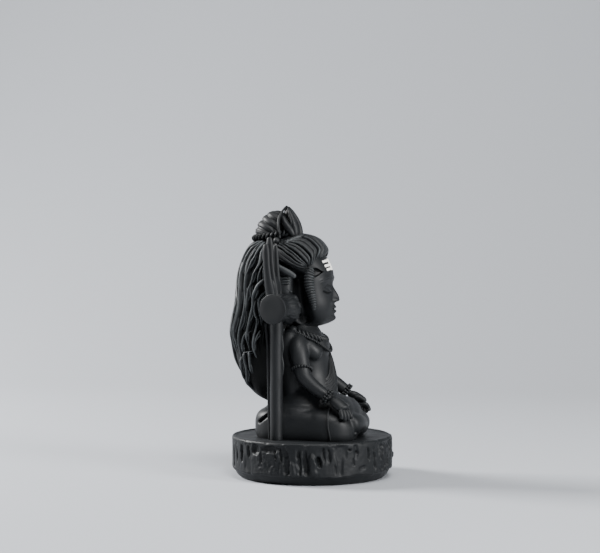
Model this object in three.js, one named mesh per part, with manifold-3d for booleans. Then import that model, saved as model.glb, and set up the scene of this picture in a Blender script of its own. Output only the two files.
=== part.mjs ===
// A small figure of a seated child deity, cast in one piece of black resin: a round rock-sided
// plinth, the cross-legged figure with long loose hair and a topknot, a trident standing beside its
// right arm, and an hourglass drum tied to the trident's shaft.
// Millimetres, +Z up. The figure faces -Y, its right hand is on the -X side, and the origin is the
// centre of the plinth's flat underside.
import * as THREE from "three";
import { mergeVertices } from "three/addons/utils/BufferGeometryUtils.js";
import Module from "manifold-3d";

const wasm = await Module();
wasm.setup();

// Driving dimensions
const PLINTH_RADIUS = 32;
const PLINTH_HEIGHT = 16.3;
const FOOT_INSET = 2.8;
const FOOT_BAND = 4.2;
const RIM_ROUND = 0.7;
const ROCK_DEPTH = 1.6;
const FIGURE_HEIGHT = 92;
const SHAFT_RADIUS = 2.4;
const SHAFT_HEIGHT = 57;
const TRIDENT_HEAD = 23.5;
const TRIDENT_WIDTH = 12.8;
const TINE_RADIUS = 1.55;
const DRUM_RADIUS = 6.2;
const DRUM_WAIST_RADIUS = 4.6;
const DRUM_LENGTH = 10.6;
const DRUM_HEIGHT = 51.4;
const CORD_RADIUS = 1.4;
const BEAD_RADIUS = 0.65;
const LOCK_DEPTH = 1.3;

// The figure is carved in 92 parts of its own height, so a part is a millimetre at the size above.
const PART_COUNT = 92;
const part = FIGURE_HEIGHT / PART_COUNT;
const FULL_TURN = 2 * Math.PI;
const SINK = 0.8;
const WELD = 1e-5;
const RIGHT = -1;
const LEFT = 1;

// A place on the figure: x to its left, y to its back, z up from the plinth's top, in parts.
function at(x, y, z) {
  return new THREE.Vector3(x * part, y * part, PLINTH_HEIGHT + z * part);
}

function clamp01(x) {
  return Math.min(1, Math.max(0, x));
}

function step(from, to, x) {
  const t = clamp01((x - from) / (to - from));
  return t * t * (3 - 2 * t);
}

function mix(a, b, t) {
  return a + (b - a) * t;
}

function bell(distance, width) {
  return Math.exp(-((distance / width) ** 2));
}

// A sine or cosine pushed out towards a square as bluntness grows above 2.
function blunt(wave, bluntness) {
  return Math.sign(wave) * Math.abs(wave) ** (2 / bluntness);
}

// A repeatable scatter of numbers from 0 to 1, one for each lattice place.
function scatter(i, j) {
  const s = Math.sin(i * 127.1 + j * 311.7) * 43758.5453;
  return s - Math.floor(s);
}

// Smooth hills and hollows from 0 to 1 that repeat every `wrap` cells along x.
function hills(x, y, wrap) {
  const [i, j] = [Math.floor(x), Math.floor(y)];
  const [s, t] = [step(0, 1, x - i), step(0, 1, y - j)];
  const cell = (a, b) => scatter(((a % wrap) + wrap) % wrap, b);
  const low = mix(cell(i, j), cell(i + 1, j), s);
  const high = mix(cell(i, j + 1), cell(i + 1, j + 1), s);
  return mix(low, high, t);
}

// A smooth profile through a few [place, value] stations.
function through(...stations) {
  const slope = stations.map((station, i) => {
    const before = stations[Math.max(0, i - 1)];
    const after = stations[Math.min(stations.length - 1, i + 1)];
    return (after[1] - before[1]) / (after[0] - before[0]);
  });
  return (x) => {
    let i = 0;
    while (i < stations.length - 2 && x > stations[i + 1][0]) i++;
    const span = stations[i + 1][0] - stations[i][0];
    const t = clamp01((x - stations[i][0]) / span);
    const rise = t * t * (3 - 2 * t);
    const leave = t * (1 - t) ** 2 * span * slope[i];
    const arrive = t * t * (t - 1) * span * slope[i + 1];
    return mix(stations[i][1], stations[i + 1][1], rise) + leave + arrive;
  };
}

// A closed form: a sphere's grid with each point moved to place(around, along), where around goes
// once round anticlockwise from 0 to 1 and along goes from the bottom pole, 0, to the top pole, 1.
function moulded(columns, rows, place) {
  const geometry = new THREE.SphereGeometry(1, columns, rows);
  const position = geometry.getAttribute("position");
  const uv = geometry.getAttribute("uv");
  for (let i = 0; i < position.count; i++) {
    const along = uv.getY(i);
    const pole = along < WELD || along > 1 - WELD;
    const around = pole ? 0 : uv.getX(i) % 1;
    const p = place(around, along);
    position.setXYZ(i, p.x, p.y, p.z);
  }
  return geometry;
}

function ball(centre, radii, columns, rows, bluntness = 2) {
  return moulded(columns, rows, (around, along) => {
    const turn = FULL_TURN * around;
    const rise = Math.PI * (along - 0.5);
    const ring = blunt(Math.cos(rise), bluntness);
    return at(
      centre[0] + radii[0] * ring * blunt(Math.cos(turn), bluntness),
      centre[1] + radii[1] * ring * blunt(Math.sin(turn), bluntness),
      centre[2] + radii[2] * blunt(Math.sin(rise), bluntness),
    );
  });
}

// A round-ended limb along a smooth curve. radii has one entry for each point, and flat squeezes
// the section towards `facing`, the direction in which the flat side looks.
function limb(points, radii, sides, rings, { flat = 1, facing = [0, 0, 1] } = {}) {
  const curve = new THREE.CatmullRomCurve3(points.map((p) => at(...p)), false, "catmullrom", 0.5);
  const length = curve.getLength();
  const look = new THREE.Vector3(...facing);
  const radiusAt = (s) => {
    const k = s * (radii.length - 1);
    const i = Math.min(Math.floor(k), radii.length - 2);
    return mix(radii[i], radii[i + 1], k - i) * part;
  };
  return moulded(sides, rings, (around, along) => {
    const ring = Math.round(along * rings);
    const atStart = ring <= rings / 2;
    const inCap = Math.min(ring, rings - ring) <= 1;
    const cap = (end) => Math.min(0.3, (0.8 * radiusAt(end)) / length);
    let s = mix(cap(0), 1 - cap(1), (ring - 1) / (rings - 2));
    if (ring === 0 || ring === rings) s = atStart ? 0 : 1;
    const radius = radiusAt(s) * (ring === 0 || ring === rings ? 0 : inCap ? 0.85 : 1);
    const tangent = curve.getTangent(s);
    const side = new THREE.Vector3().crossVectors(look, tangent).normalize();
    const out = new THREE.Vector3().crossVectors(tangent, side);
    const turn = FULL_TURN * around;
    return curve
      .getPoint(s)
      .addScaledVector(side, radius * Math.cos(turn))
      .addScaledVector(out, radius * flat * Math.sin(turn));
  });
}

function solid(geometry) {
  const bare = new THREE.BufferGeometry();
  bare.setAttribute("position", geometry.getAttribute("position"));
  bare.setIndex(geometry.index);
  const merged = mergeVertices(bare, WELD);
  const corners = merged.index.array;
  const kept = [];
  for (let i = 0; i < corners.length; i += 3) {
    const [a, b, c] = [corners[i], corners[i + 1], corners[i + 2]];
    if (a !== b && b !== c && c !== a) kept.push(a, b, c);
  }
  return new wasm.Manifold(
    new wasm.Mesh({
      numProp: 3,
      vertProperties: merged.getAttribute("position").array,
      triVerts: new Uint32Array(kept),
    }),
  );
}

// The plinth: a turned disc with a smooth band at its foot and a rough face split by upright scars.
function plinth() {
  const foot = PLINTH_RADIUS - FOOT_INSET;
  const face = (share) => [PLINTH_RADIUS, mix(FOOT_BAND, PLINTH_HEIGHT, share)];
  const outline = [
    [0, 0],
    [foot - 2 * RIM_ROUND, 0],
    [foot, RIM_ROUND],
    [PLINTH_RADIUS - RIM_ROUND, FOOT_BAND],
    face(0.35),
    face(0.7),
    [PLINTH_RADIUS, PLINTH_HEIGHT - RIM_ROUND],
    [PLINTH_RADIUS - RIM_ROUND, PLINTH_HEIGHT],
    [0, PLINTH_HEIGHT],
  ].map(([r, z]) => new THREE.Vector2(r, z));
  const SEGMENTS = 48;
  const geometry = new THREE.LatheGeometry(outline, SEGMENTS).rotateX(Math.PI / 2);
  const position = geometry.getAttribute("position");
  for (let i = 0; i < position.count; i++) {
    const [x, y, z] = [position.getX(i), position.getY(i), position.getZ(i)];
    const radius = Math.hypot(x, y);
    if (radius < foot || z < FOOT_BAND) continue;
    const keep = 1 - rockDepth((Math.atan2(y, x) / FULL_TURN + 1) % 1, z) / radius;
    position.setXY(i, x * keep, y * keep);
  }
  return geometry;
}

// How deep the rock face is cut: broad flats, upright scars, and chips out of the rim.
function rockDepth(turn, z) {
  const broad = hills(turn * 15, z / 9, 15);
  const scar = step(0.55, 0.9, hills(turn * 44, z / 7 + 3, 44));
  const chip = step(0.62, 0.95, hills(turn * 29, 7, 29)) * step(0.6, 1, z / PLINTH_HEIGHT);
  return ROCK_DEPTH * (0.4 * broad + 0.65 * scar + 0.35 * chip);
}

// The seat: hips and thighs under a tiger-skin cloth, wide at the knees and upright at the back.
function seat() {
  const [frontY, backY, top, hip, spread] = [-17, 22.2, 12.4, 16.6, 21.4];
  return moulded(22, 7, (around, along) => {
    const turn = FULL_TURN * around;
    const rise = Math.PI * (along - 0.5);
    const ring = blunt(Math.cos(rise), 5);
    const y = mix(frontY, backY, 0.5 + 0.5 * ring * blunt(Math.sin(turn), 2.7));
    const half = mix(spread, hip, step(-10, 16, y));
    const z = mix(-SINK, top, 0.5 + 0.5 * blunt(Math.sin(rise), 4.4));
    return at(ring * blunt(Math.cos(turn), 2.7) * half, y, z);
  });
}

// The hem of the cloth, a low roll that crosses each thigh before the knee.
function hem(side) {
  const line = [
    [side * 10, -12, 12.6],
    [side * 16, -11.2, 12.4],
    [side * 20.2, -10.2, 10.8],
    [side * 21.6, -10.2, 5.5],
    [side * 21.6, -10.6, 0],
  ];
  return limb(line, [0.5, 0.6, 0.7, 0.7, 0.6], 5, 7, { facing: [0, 1, 0] });
}

function knee(side) {
  return ball([side * 16.6, -15, 5.3], [6.2, 6.6, 6.3], 10, 7, 2.5);
}

// The lap: the cloth over the crossed legs, which rises to the belly.
function lap() {
  return ball([0, -8.5, 7], [16, 10.4, 9], 12, 6);
}

// The shin from the knee across to the foot, which is tucked below the other knee.
function shin(side, lift) {
  const line = [
    [side * 17, -15.6, 5.2],
    [side * 11, -18.6, 4.8 + lift],
    [side * 2, -19.6, 4 + lift],
    [side * -6, -18.8, 3.4 + lift],
  ];
  return limb(line, [5.2, 4.6, 3.8, 3.2], 8, 6);
}

function foot(side, lift) {
  const line = [
    [side * -4.6, -19, 3.4 + lift],
    [side * -9, -20.4, 3 + lift],
    [side * -13, -20, 2.6 + lift],
  ];
  return limb(line, [2.8, 2.8, 2.2], 8, 6, { flat: 0.8 });
}

// The trunk: an oval section at each height, from inside the seat up into the head.
const TRUNK = {
  low: 6,
  high: 50,
  middle: through([6, 1.5], [14, 0.6], [20, 0.1], [26, 0.3], [33, 1.1], [38, 2.2], [43, 2.9], [50, 3]),
  width: through(
    [6, 12], [14, 11.6], [20, 11.1], [26, 10.2], [33, 10.9], [37.5, 10.8], [41, 8.8], [44, 6],
    [50, 5.2],
  ),
  depth: through(
    [6, 10], [14, 10.2], [20, 9.9], [26, 8.7], [33, 8.6], [38, 7.5], [41, 6.6], [44, 5.2],
    [50, 4.8],
  ),
};

function trunk() {
  return moulded(16, 11, (around, along) => {
    const z = mix(TRUNK.low, TRUNK.high, along);
    const ring = Math.sqrt(1 - Math.abs(2 * along - 1) ** 14);
    const turn = FULL_TURN * around;
    return at(
      ring * TRUNK.width(z) * Math.cos(turn),
      TRUNK.middle(z) + ring * TRUNK.depth(z) * Math.sin(turn),
      z,
    );
  });
}

function breast(side) {
  return ball([side * 4.7, -3, 33], [5.4, 4.8, 4.4], 10, 6);
}

// Each arm hangs from the shoulder to the elbow and reaches forward to the hand on the knee.
const ARM = {
  [RIGHT]: {
    line: [
      [-11.3, 3.2, 38.2],
      [-13.6, 3.2, 34.2],
      [-14.5, 2.4, 29],
      [-15.2, 1.2, 24.6],
      [-15.4, -3, 21],
      [-15.3, -6.6, 18.6],
      [-15.8, -10, 16.4],
    ],
    knuckles: [-17.2, -16, 13.4],
    tips: [-21.9, -18.2, 8.2],
    across: [-0.5, -1.1, 0.1],
  },
  [LEFT]: {
    line: [
      [11.3, 3.2, 38.2],
      [13.6, 2.9, 34.2],
      [14.6, 1.6, 29.2],
      [15.2, -0.4, 25],
      [15.4, -5.6, 21.6],
      [15.4, -10, 18.8],
      [15.8, -13.6, 16.6],
    ],
    knuckles: [17.2, -18.8, 13.4],
    tips: [21.9, -20.6, 8.4],
    across: [0.55, -1.05, 0.1],
  },
};
const ARM_RADII = [4.6, 4.2, 3.8, 3.5, 3.1, 2.7, 2.3];

function arm(side) {
  return limb(ARM[side].line, ARM_RADII, 9, 10, { facing: [1, 0, 0] });
}

// A hand lies palm down on the knee, with the fingers bent over its outer side.
function hand(side) {
  const { line, knuckles, tips, across } = ARM[side];
  const wrist = line.at(-1);
  const between = (a, b, t, offset) => a.map((v, i) => mix(v, b[i], t) + across[i] * offset);
  const palm = [0, 0.5, 1].map((t) => between(wrist, knuckles, t, 0));
  const made = [limb(palm, [2.2, 3, 2.9], 8, 5, { flat: 0.62, facing: [side * 0.55, -0.25, 0.8] })];
  for (const offset of [-1.5, -0.5, 0.5, 1.5]) {
    const bend = between(knuckles, tips, 0.3, offset);
    bend[2] += 0.8;
    const reach = 1 - 0.1 * Math.abs(offset - 0.5);
    const finger = [between(wrist, knuckles, 0.85, offset), bend, between(knuckles, tips, reach, offset)];
    made.push(limb(finger, [0.95, 0.92, 0.8], 5, 5));
  }
  const thumb = [0.3, 0.7, 1.1].map((t, i) => between(wrist, knuckles, t, -1.5 - 0.6 * i));
  made.push(limb(thumb, [0.95, 0.9, 0.65], 5, 5));
  return made;
}

// A ring of beads round a limb, as one band.
function band(centre, axis, radius) {
  const turn = new THREE.Quaternion().setFromUnitVectors(
    new THREE.Vector3(0, 0, 1),
    new THREE.Vector3(...axis).normalize(),
  );
  const place = at(...centre);
  return new THREE.TorusGeometry(radius * part, BEAD_RADIUS, 4, 10)
    .applyQuaternion(turn)
    .translate(place.x, place.y, place.z);
}

function bands(side) {
  const { line } = ARM[side];
  const along = (i) => line[i + 1].map((v, k) => v - line[i - 1][k]);
  const wrist = line[5].map((v, k) => mix(v, line[6][k], 0.6));
  return [band(line[2], along(2), 3.6), band(wrist, along(5), 2.35)];
}

// The head: a child's round head with full cheeks. Its depth and width vary with height.
const HEAD = {
  low: 43.6,
  high: 76,
  middle: 2.6,
  front: through(
    [43.6, 3.4], [45, 8.2], [47.2, 10.6], [50, 11.3], [56, 11.2], [60, 11], [63, 11.2],
    [66, 10.9], [69, 9.7], [72, 8], [76, 4],
  ),
  back: through([43.6, 3], [50, 8.5], [60, 11], [70, 11], [76, 6]),
  half: through(
    [43.6, 3.6], [45, 7.2], [47.5, 9.8], [51, 11.9], [56, 12.8], [62, 12.9], [68, 12.2],
    [72, 10.4], [76, 6],
  ),
};

// How far the face stands out at a place across and up it: nose, closed eyes, brows, lips and chin.
function relief(x, z) {
  const a = Math.abs(x);
  const nose = 2.3 * bell(a, 1.6) * step(60.5, 55, z) * step(52.4, 54.2, z);
  const wings = 0.7 * bell(Math.hypot(a - 1.5, z - 54.2), 1);
  const socket = -1.1 * bell(a - 4.6, 2.4) * bell(z - 59.2, 2);
  const lid = 0.95 * bell(a - 4.7, 2) * bell(z - 58.2, 1.4);
  const brow = 0.4 * bell(a - 4.8, 3) * bell(z - 62.3, 1);
  const lips = bell(a, 2) * (0.85 * bell(z - 51.4, 0.75) + 0.8 * bell(z - 49.9, 0.75));
  const chin = 0.6 * bell(a, 2.6) * bell(z - 47.3, 1.6);
  const cheek = 0.5 * bell(a - 6.6, 3) * bell(z - 52.8, 3);
  return nose + wings + socket + lid + brow + lips + chin + cheek;
}

function head() {
  return moulded(26, 20, (around, along) => {
    const z = mix(HEAD.low, HEAD.high, clamp01(0.5 + 1.14 * (along - 0.5) - 0.56 * (along - 0.5) ** 3));
    const ring = Math.sqrt(1 - Math.abs(2 * along - 1) ** 10);
    const turn = FULL_TURN * around;
    const lean = turn - 0.5 * Math.cos(turn);
    const [c, s] = [Math.cos(lean), Math.sin(lean)];
    const x = ring * HEAD.half(z) * c;
    if (s > 0) return at(x * (1 - 0.12 * step(0, 0.5, s)), HEAD.middle + ring * HEAD.back(z) * s, z);
    const stand = step(0.15, 0.5, -s) * relief(x, z);
    return at(x, HEAD.middle - ring * HEAD.front(z) * Math.abs(s) ** 0.86 - stand, z);
  });
}

// The combed hair: locks that radiate from the cord under the topknot to the hairline, where their
// edge stands off the head. Crests and valleys take turns on the grid's columns.
const COMBED = {
  locks: 18,
  centre: [0, 5.4, 66.2],
  radii: [15, 12.7, 15.4],
  crown: new THREE.Vector3(0, 0.6, 0.8),
  edge: 1.76,
};

function combedHair() {
  const { locks, centre, radii, crown, edge } = COMBED;
  const across = new THREE.Vector3(1, 0, 0);
  const ahead = new THREE.Vector3().crossVectors(crown, across);
  const EDGE_ROW = 0.25;
  return moulded(2 * locks, 8, (around, along) => {
    const column = Math.round(around * 2 * locks);
    const down = clamp01((1 - along) / (1 - EDGE_ROW));
    const inside = clamp01(1 - along / EDGE_ROW);
    const polar = edge * down + 0.5 * inside;
    const turn = FULL_TURN * (around + 0.02 * Math.sin(FULL_TURN * down));
    const direction = new THREE.Vector3()
      .addScaledVector(across, Math.sin(polar) * Math.cos(turn))
      .addScaledVector(ahead, Math.sin(polar) * Math.sin(turn))
      .addScaledVector(crown, Math.cos(polar));
    const reach = 1 / Math.hypot(...direction.toArray().map((v, i) => v / radii[i]));
    const high = mix(0.5, 1, scatter(column, 2));
    const cut = (column % 2 ? high : 0) * LOCK_DEPTH * step(0, 0.4, polar);
    const length = mix(reach + 0.5 - cut, 0.3 * reach, inside);
    return at(...centre.map((v, i) => v + direction.toArray()[i] * length));
  });
}

// The loose hair: it falls from the crown, stands out behind the shoulders and closes in again over
// the seat, with locks that sway a little as they fall.
const LOOSE = {
  locks: 22,
  low: 12.4,
  high: 82,
  back: through(
    [12.4, 17], [15.5, 23.4], [19.3, 27], [25, 29.6], [31, 31.4], [40.5, 32.8], [47, 32.2],
    [54, 30.8], [60, 30], [66, 28.8], [74, 25.8], [82, 21],
  ),
  front: through(
    [12.4, 15], [20, 10], [30, 8.5], [40, 8], [47, 6], [60, 5], [70, 6], [82, 12],
  ),
  half: through(
    [12.4, 4], [15.5, 9.4], [20, 12.6], [27, 14.8], [36, 16], [46, 16.4], [56, 16], [66, 15.2],
    [74, 12.6], [82, 7],
  ),
};

function looseHair() {
  const { locks, low, high, back, front, half } = LOOSE;
  return moulded(2 * locks, 11, (around, along) => {
    const column = Math.round(around * 2 * locks);
    const z = mix(low, high, along);
    const ring = Math.sqrt(1 - Math.abs(2 * along - 1) ** 9);
    const sway = 0.012 * Math.sin(FULL_TURN * (1.4 * along + 2 * around));
    const turn = FULL_TURN * (around + sway);
    const [c, s] = [Math.cos(turn), Math.sin(turn)];
    const bluntness = s < 0 ? 5 : 2;
    const depth = mix(0.5, 1, scatter(column, 5)) * LOCK_DEPTH;
    const tip = mix(0.08, 0.36, scatter(column, 9));
    const cut = column % 2 || along < tip ? depth : 0;
    const deep = (back(z) - front(z)) / 2;
    return at(
      (ring * half(z) - cut) * blunt(c, bluntness),
      front(z) + deep + (ring * deep - cut) * blunt(s, bluntness),
      z,
    );
  });
}

// A lock in front of each ear, narrow towards the jaw.
function sideLock(side) {
  const line = [
    [side * 11.6, -2.6, 67],
    [side * 13, -0.6, 63.4],
    [side * 13.2, -0.4, 59],
    [side * 12.6, -1.8, 54.6],
    [side * 11.4, -3.2, 50.6],
  ];
  return limb(line, [1.4, 1.9, 1.7, 1.3, 0.6], 5, 7, { flat: 0.7, facing: [side, 0, 0] });
}

// A swag of hair that sweeps back from each temple below the combed hair.
function swag(side) {
  const line = [
    [side * 12.8, -1.6, 65.6],
    [side * 14.6, 2, 63.8],
    [side * 15.4, 7, 65.2],
    [side * 14.8, 13, 68.4],
  ];
  return limb(line, [1, 1.7, 1.8, 1.1], 6, 6, { flat: 0.8, facing: [side, 0, 0] });
}

// The topknot: wound hair above a twisted cord, with a tall folded loop in front of it.
const TOPKNOT = { centre: [0, 15.2, 80.4], radii: [7.6, 7.4, 8.8], cord: 8.9 };

function bun() {
  const { centre, radii } = TOPKNOT;
  return moulded(14, 9, (around, along) => {
    const turn = FULL_TURN * around;
    const rise = Math.PI * (along - 0.5);
    const wound = Math.round(along * 9) % 2 ? 1 : 0.91;
    const ring = Math.cos(rise) * wound;
    const forward = 2.4 * step(0, 1, Math.sin(rise));
    return at(
      centre[0] + radii[0] * ring * Math.cos(turn),
      centre[1] + radii[1] * ring * Math.sin(turn) - forward,
      centre[2] + radii[2] * Math.sin(rise) + 0.9 * ring * Math.sin(turn - 0.6),
    );
  });
}

function loop() {
  return moulded(12, 8, (around, along) => {
    const turn = FULL_TURN * around;
    const swell = Math.sin(Math.PI * along ** 0.7) ** 0.8;
    const middle = mix(8.4, 10.2, along);
    return at(6 * swell * Math.cos(turn), middle + 4.8 * swell * Math.sin(turn), mix(74, PART_COUNT, along));
  });
}

function topCord() {
  const place = at(0, TOPKNOT.centre[1] + 0.4, TOPKNOT.centre[2] - 0.8);
  const geometry = new THREE.TorusGeometry(TOPKNOT.cord * part, 0.9 * CORD_RADIUS, 4, 28);
  const position = geometry.getAttribute("position");
  for (let i = 0; i < position.count; i++) {
    const x = position.getX(i);
    const y = position.getY(i);
    const turn = Math.atan2(y, x) / FULL_TURN;
    const twist = 1 + 0.03 * (Math.round(turn * 28) % 2 ? 1 : -1);
    position.setXYZ(i, x * twist, y * twist, position.getZ(i) * twist);
  }
  return geometry.rotateX(-0.1).translate(place.x, place.y, place.z);
}

// The thick cord that lies round the neck.
function neckCord() {
  const place = at(0, 2.9, 41.7);
  return new THREE.TorusGeometry(9.3 * part, CORD_RADIUS, 5, 15)
    .rotateX(0.38)
    .translate(place.x, place.y, place.z);
}

// The sash: gathered folds that hang from the left shoulder and cross the belly to the right hip.
function sash() {
  const FOLDS = 5;
  const line = [
    [8, 0.6, 41],
    [4.2, -5.4, 34],
    [1, -7.4, 26.6],
    [-3.6, -6.9, 20.6],
    [-9, -3.2, 16.6],
  ];
  return limb(line, [3, 3.2, 3.6, 4.4, 5], 2 * FOLDS, 7, { flat: 0.5, facing: [-0.2, -1, 0.1] });
}

// The trident stands beside the right arm. Its head and the drum are turned a little to the back.
const TRIDENT = {
  x: -17,
  y: 11.3,
  turned: THREE.MathUtils.degToRad(-20),
  lean: 0.1,
  top: SHAFT_HEIGHT / part,
};

function shaft() {
  const foot = at(TRIDENT.x, TRIDENT.y, 0);
  const height = SHAFT_HEIGHT + SINK;
  return new THREE.CylinderGeometry(SHAFT_RADIUS, 0.92 * SHAFT_RADIUS, height, 12)
    .rotateX(Math.PI / 2)
    .translate(foot.x, foot.y, foot.z - SINK + height / 2);
}

// A place on the trident's head in parts: `out` across its plane and `up` from its neck, which are
// shares of its half width and of its height.
function onTrident(out, up) {
  const across = (out * (TRIDENT_WIDTH / 2 - TINE_RADIUS)) / part;
  const above = (up * TRIDENT_HEAD) / part;
  return [
    TRIDENT.x + across * Math.cos(TRIDENT.turned),
    TRIDENT.y + across * Math.sin(TRIDENT.turned) + TRIDENT.lean * above,
    TRIDENT.top - 1 + above,
  ];
}

function tridentHead() {
  const r = TINE_RADIUS / part;
  const facing = [Math.sin(TRIDENT.turned), -Math.cos(TRIDENT.turned), 0];
  const outer = (side) => {
    const line = [[0, 0], [0.62, 0.09], [1, 0.3], [0.96, 0.64], [0.8, 0.93]];
    const radii = [r, 1.25 * r, 1.15 * r, r, 0.35 * r];
    return limb(line.map(([out, up]) => onTrident(side * out, up)), radii, 6, 9, { facing });
  };
  const middle = [-0.08, 0.3, 0.72, 1].map((h) => onTrident(0, h));
  return [limb(middle, [1.5 * r, 1.2 * r, 1.1 * r, 0.3 * r], 6, 9, { facing }), outer(RIGHT), outer(LEFT)];
}

function drum() {
  const [half, rim] = [DRUM_LENGTH / 2, 0.4];
  const outline = [
    [0, -half],
    [DRUM_RADIUS - rim, -half],
    [DRUM_RADIUS, rim - half],
    [DRUM_RADIUS - rim, 4 * rim - half],
    [DRUM_WAIST_RADIUS, 0],
    [DRUM_RADIUS - rim, half - 4 * rim],
    [DRUM_RADIUS, half - rim],
    [DRUM_RADIUS - rim, half],
    [0, half],
  ].map(([r, z]) => new THREE.Vector2(r, z));
  const centre = at(TRIDENT.x - 0.6, TRIDENT.y - 0.8, DRUM_HEIGHT / part);
  return new THREE.LatheGeometry(outline, 16)
    .rotateZ(Math.PI / 2 + TRIDENT.turned)
    .translate(centre.x, centre.y, centre.z);
}

// The web of resin that joins the shaft to the hair and the seat behind it, as cast.
function web() {
  const [outer, inner] = [TRIDENT.x + 0.6, -2];
  return moulded(4, 7, (around, along) => {
    const z = mix(-SINK / part, TRIDENT.top - 2, along);
    const grow = Math.min(1, 12 * Math.min(along, 1 - along));
    const [front, back] = [mix(9.8, 8.9, along), mix(13.4, 15.8, along)];
    const corner = Math.round(4 * around);
    const [right, rear] = [corner === 0 || corner === 3, corner === 0 || corner === 1];
    return at(
      mix(mix(outer, inner, 0.5), right ? inner : outer, grow),
      mix(mix(front, back, 0.5), rear ? back : front, grow),
      z,
    );
  });
}

function figure() {
  const forms = [
    plinth(),
    seat(),
    lap(),
    trunk(),
    head(),
    combedHair(),
    looseHair(),
    bun(),
    loop(),
    topCord(),
    neckCord(),
    sash(),
    shaft(),
    web(),
    ...tridentHead(),
    drum(),
  ];
  for (const side of [RIGHT, LEFT]) {
    const lift = side === RIGHT ? 1.2 : 0;
    forms.push(hem(side), knee(side), shin(side, lift), foot(side, lift));
    forms.push(breast(side), arm(side), ...hand(side), ...bands(side));
    forms.push(sideLock(side), swag(side));
  }
  const whole = forms.map(solid).reduce((joined, form) => joined.add(form));
  const { vertProperties, triVerts } = whole.getMesh();
  const geometry = new THREE.BufferGeometry();
  geometry.setAttribute("position", new THREE.BufferAttribute(vertProperties, 3));
  geometry.setIndex(new THREE.BufferAttribute(triVerts, 1));
  geometry.computeVertexNormals();
  return geometry;
}

const blackResin = new THREE.MeshStandardMaterial({ color: 0x26282a, roughness: 0.55, metalness: 0 });
const casting = new THREE.Mesh(figure(), blackResin);
casting.name = "seated_figure";

const group = new THREE.Group();
group.add(casting);
export default group;
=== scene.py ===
import bpy
import numpy as np
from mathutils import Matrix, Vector


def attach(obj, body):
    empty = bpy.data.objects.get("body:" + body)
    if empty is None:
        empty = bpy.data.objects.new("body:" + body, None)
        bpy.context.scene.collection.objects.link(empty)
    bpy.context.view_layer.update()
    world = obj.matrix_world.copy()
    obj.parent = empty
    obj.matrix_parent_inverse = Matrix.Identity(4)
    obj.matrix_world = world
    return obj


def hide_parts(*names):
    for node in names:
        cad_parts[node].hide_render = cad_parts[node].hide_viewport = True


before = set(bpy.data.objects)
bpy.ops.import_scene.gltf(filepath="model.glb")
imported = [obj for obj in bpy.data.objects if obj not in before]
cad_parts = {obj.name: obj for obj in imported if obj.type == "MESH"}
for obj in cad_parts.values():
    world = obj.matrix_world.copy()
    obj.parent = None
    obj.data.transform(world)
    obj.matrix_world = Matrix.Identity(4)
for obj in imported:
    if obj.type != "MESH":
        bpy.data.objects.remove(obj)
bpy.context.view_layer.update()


# The camera looks at the figure's right side from a little in front of it, level with the head,
# through a long lens. Millimetres, with the origin at the middle of the plinth's underside.
EYE = (-657.7, -111.1, 96.9)
AIM = (-0.83, 4.73, 79.8)

lens = bpy.data.cameras.new("side_view")
lens.lens, lens.sensor_width, lens.clip_start = 100, 36, 0.01
camera = bpy.data.objects.new("side_view", lens)
bpy.context.scene.collection.objects.link(camera)
camera.location = Vector(EYE) / 1000
camera.rotation_euler = (Vector(AIM) - Vector(EYE)).to_track_quat("-Z", "Y").to_euler()
bpy.context.scene.camera = camera


# The plinth is the foot of the one resin casting: a disc with a flat top and a thin raised lip, a
# rough broken rock face, and a smooth band below it that draws in to the underside.
PLINTH_TOP = 16.3
PLINTH_RADIUS = 32.0
FOOT_RADIUS = 29.2
BAND_TOP = 3.9


def smooth(low, high, x):
    """Rises from 0 at low to 1 at high along an S."""
    t = np.clip((x - low) / (high - low), 0.0, 1.0)
    return t * t * (3 - 2 * t)


def mix(a, b, t):
    return a + (b - a) * t


def bell(distance, width):
    """1 at no distance, and less the farther off, as a bell of that width."""
    return np.exp(-((distance / width) ** 2))


def blunt(wave, bluntness):
    """A sine pushed out towards a square as bluntness grows above 2."""
    return np.sign(wave) * np.abs(wave) ** (2 / bluntness)


def scatter(i, j):
    """A repeatable number from 0 to 1 for each lattice place."""
    s = np.sin(i * 127.1 + j * 311.7) * 43758.5453
    return s - np.floor(s)


def hills(x, y, wrap=4096):
    """Smooth hills from 0 to 1 between lattice places, repeating every wrap cells along x."""
    i, j = np.floor(x), np.floor(y)
    s, t = smooth(0, 1, x - i), smooth(0, 1, y - j)
    low = mix(scatter(i % wrap, j), scatter((i + 1) % wrap, j), s)
    high = mix(scatter(i % wrap, j + 1), scatter((i + 1) % wrap, j + 1), s)
    return mix(low, high, t)


def through(*stations):
    """A smooth profile through [place, value] stations: a cubic between each two of them."""
    at, value = np.array(stations, float).T
    n = len(at)
    before, after = np.maximum(np.arange(n) - 1, 0), np.minimum(np.arange(n) + 1, n - 1)
    slope = (value[after] - value[before]) / (at[after] - at[before])

    def profile(x):
        i = np.clip(np.searchsorted(at, x) - 1, 0, n - 2)
        span = at[i + 1] - at[i]
        t = np.clip((x - at[i]) / span, 0, 1)
        swing = span * t * (1 - t) * ((1 - t) * slope[i] - t * slope[i + 1])
        return mix(value[i], value[i + 1], t * t * (3 - 2 * t)) + swing

    return profile


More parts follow.
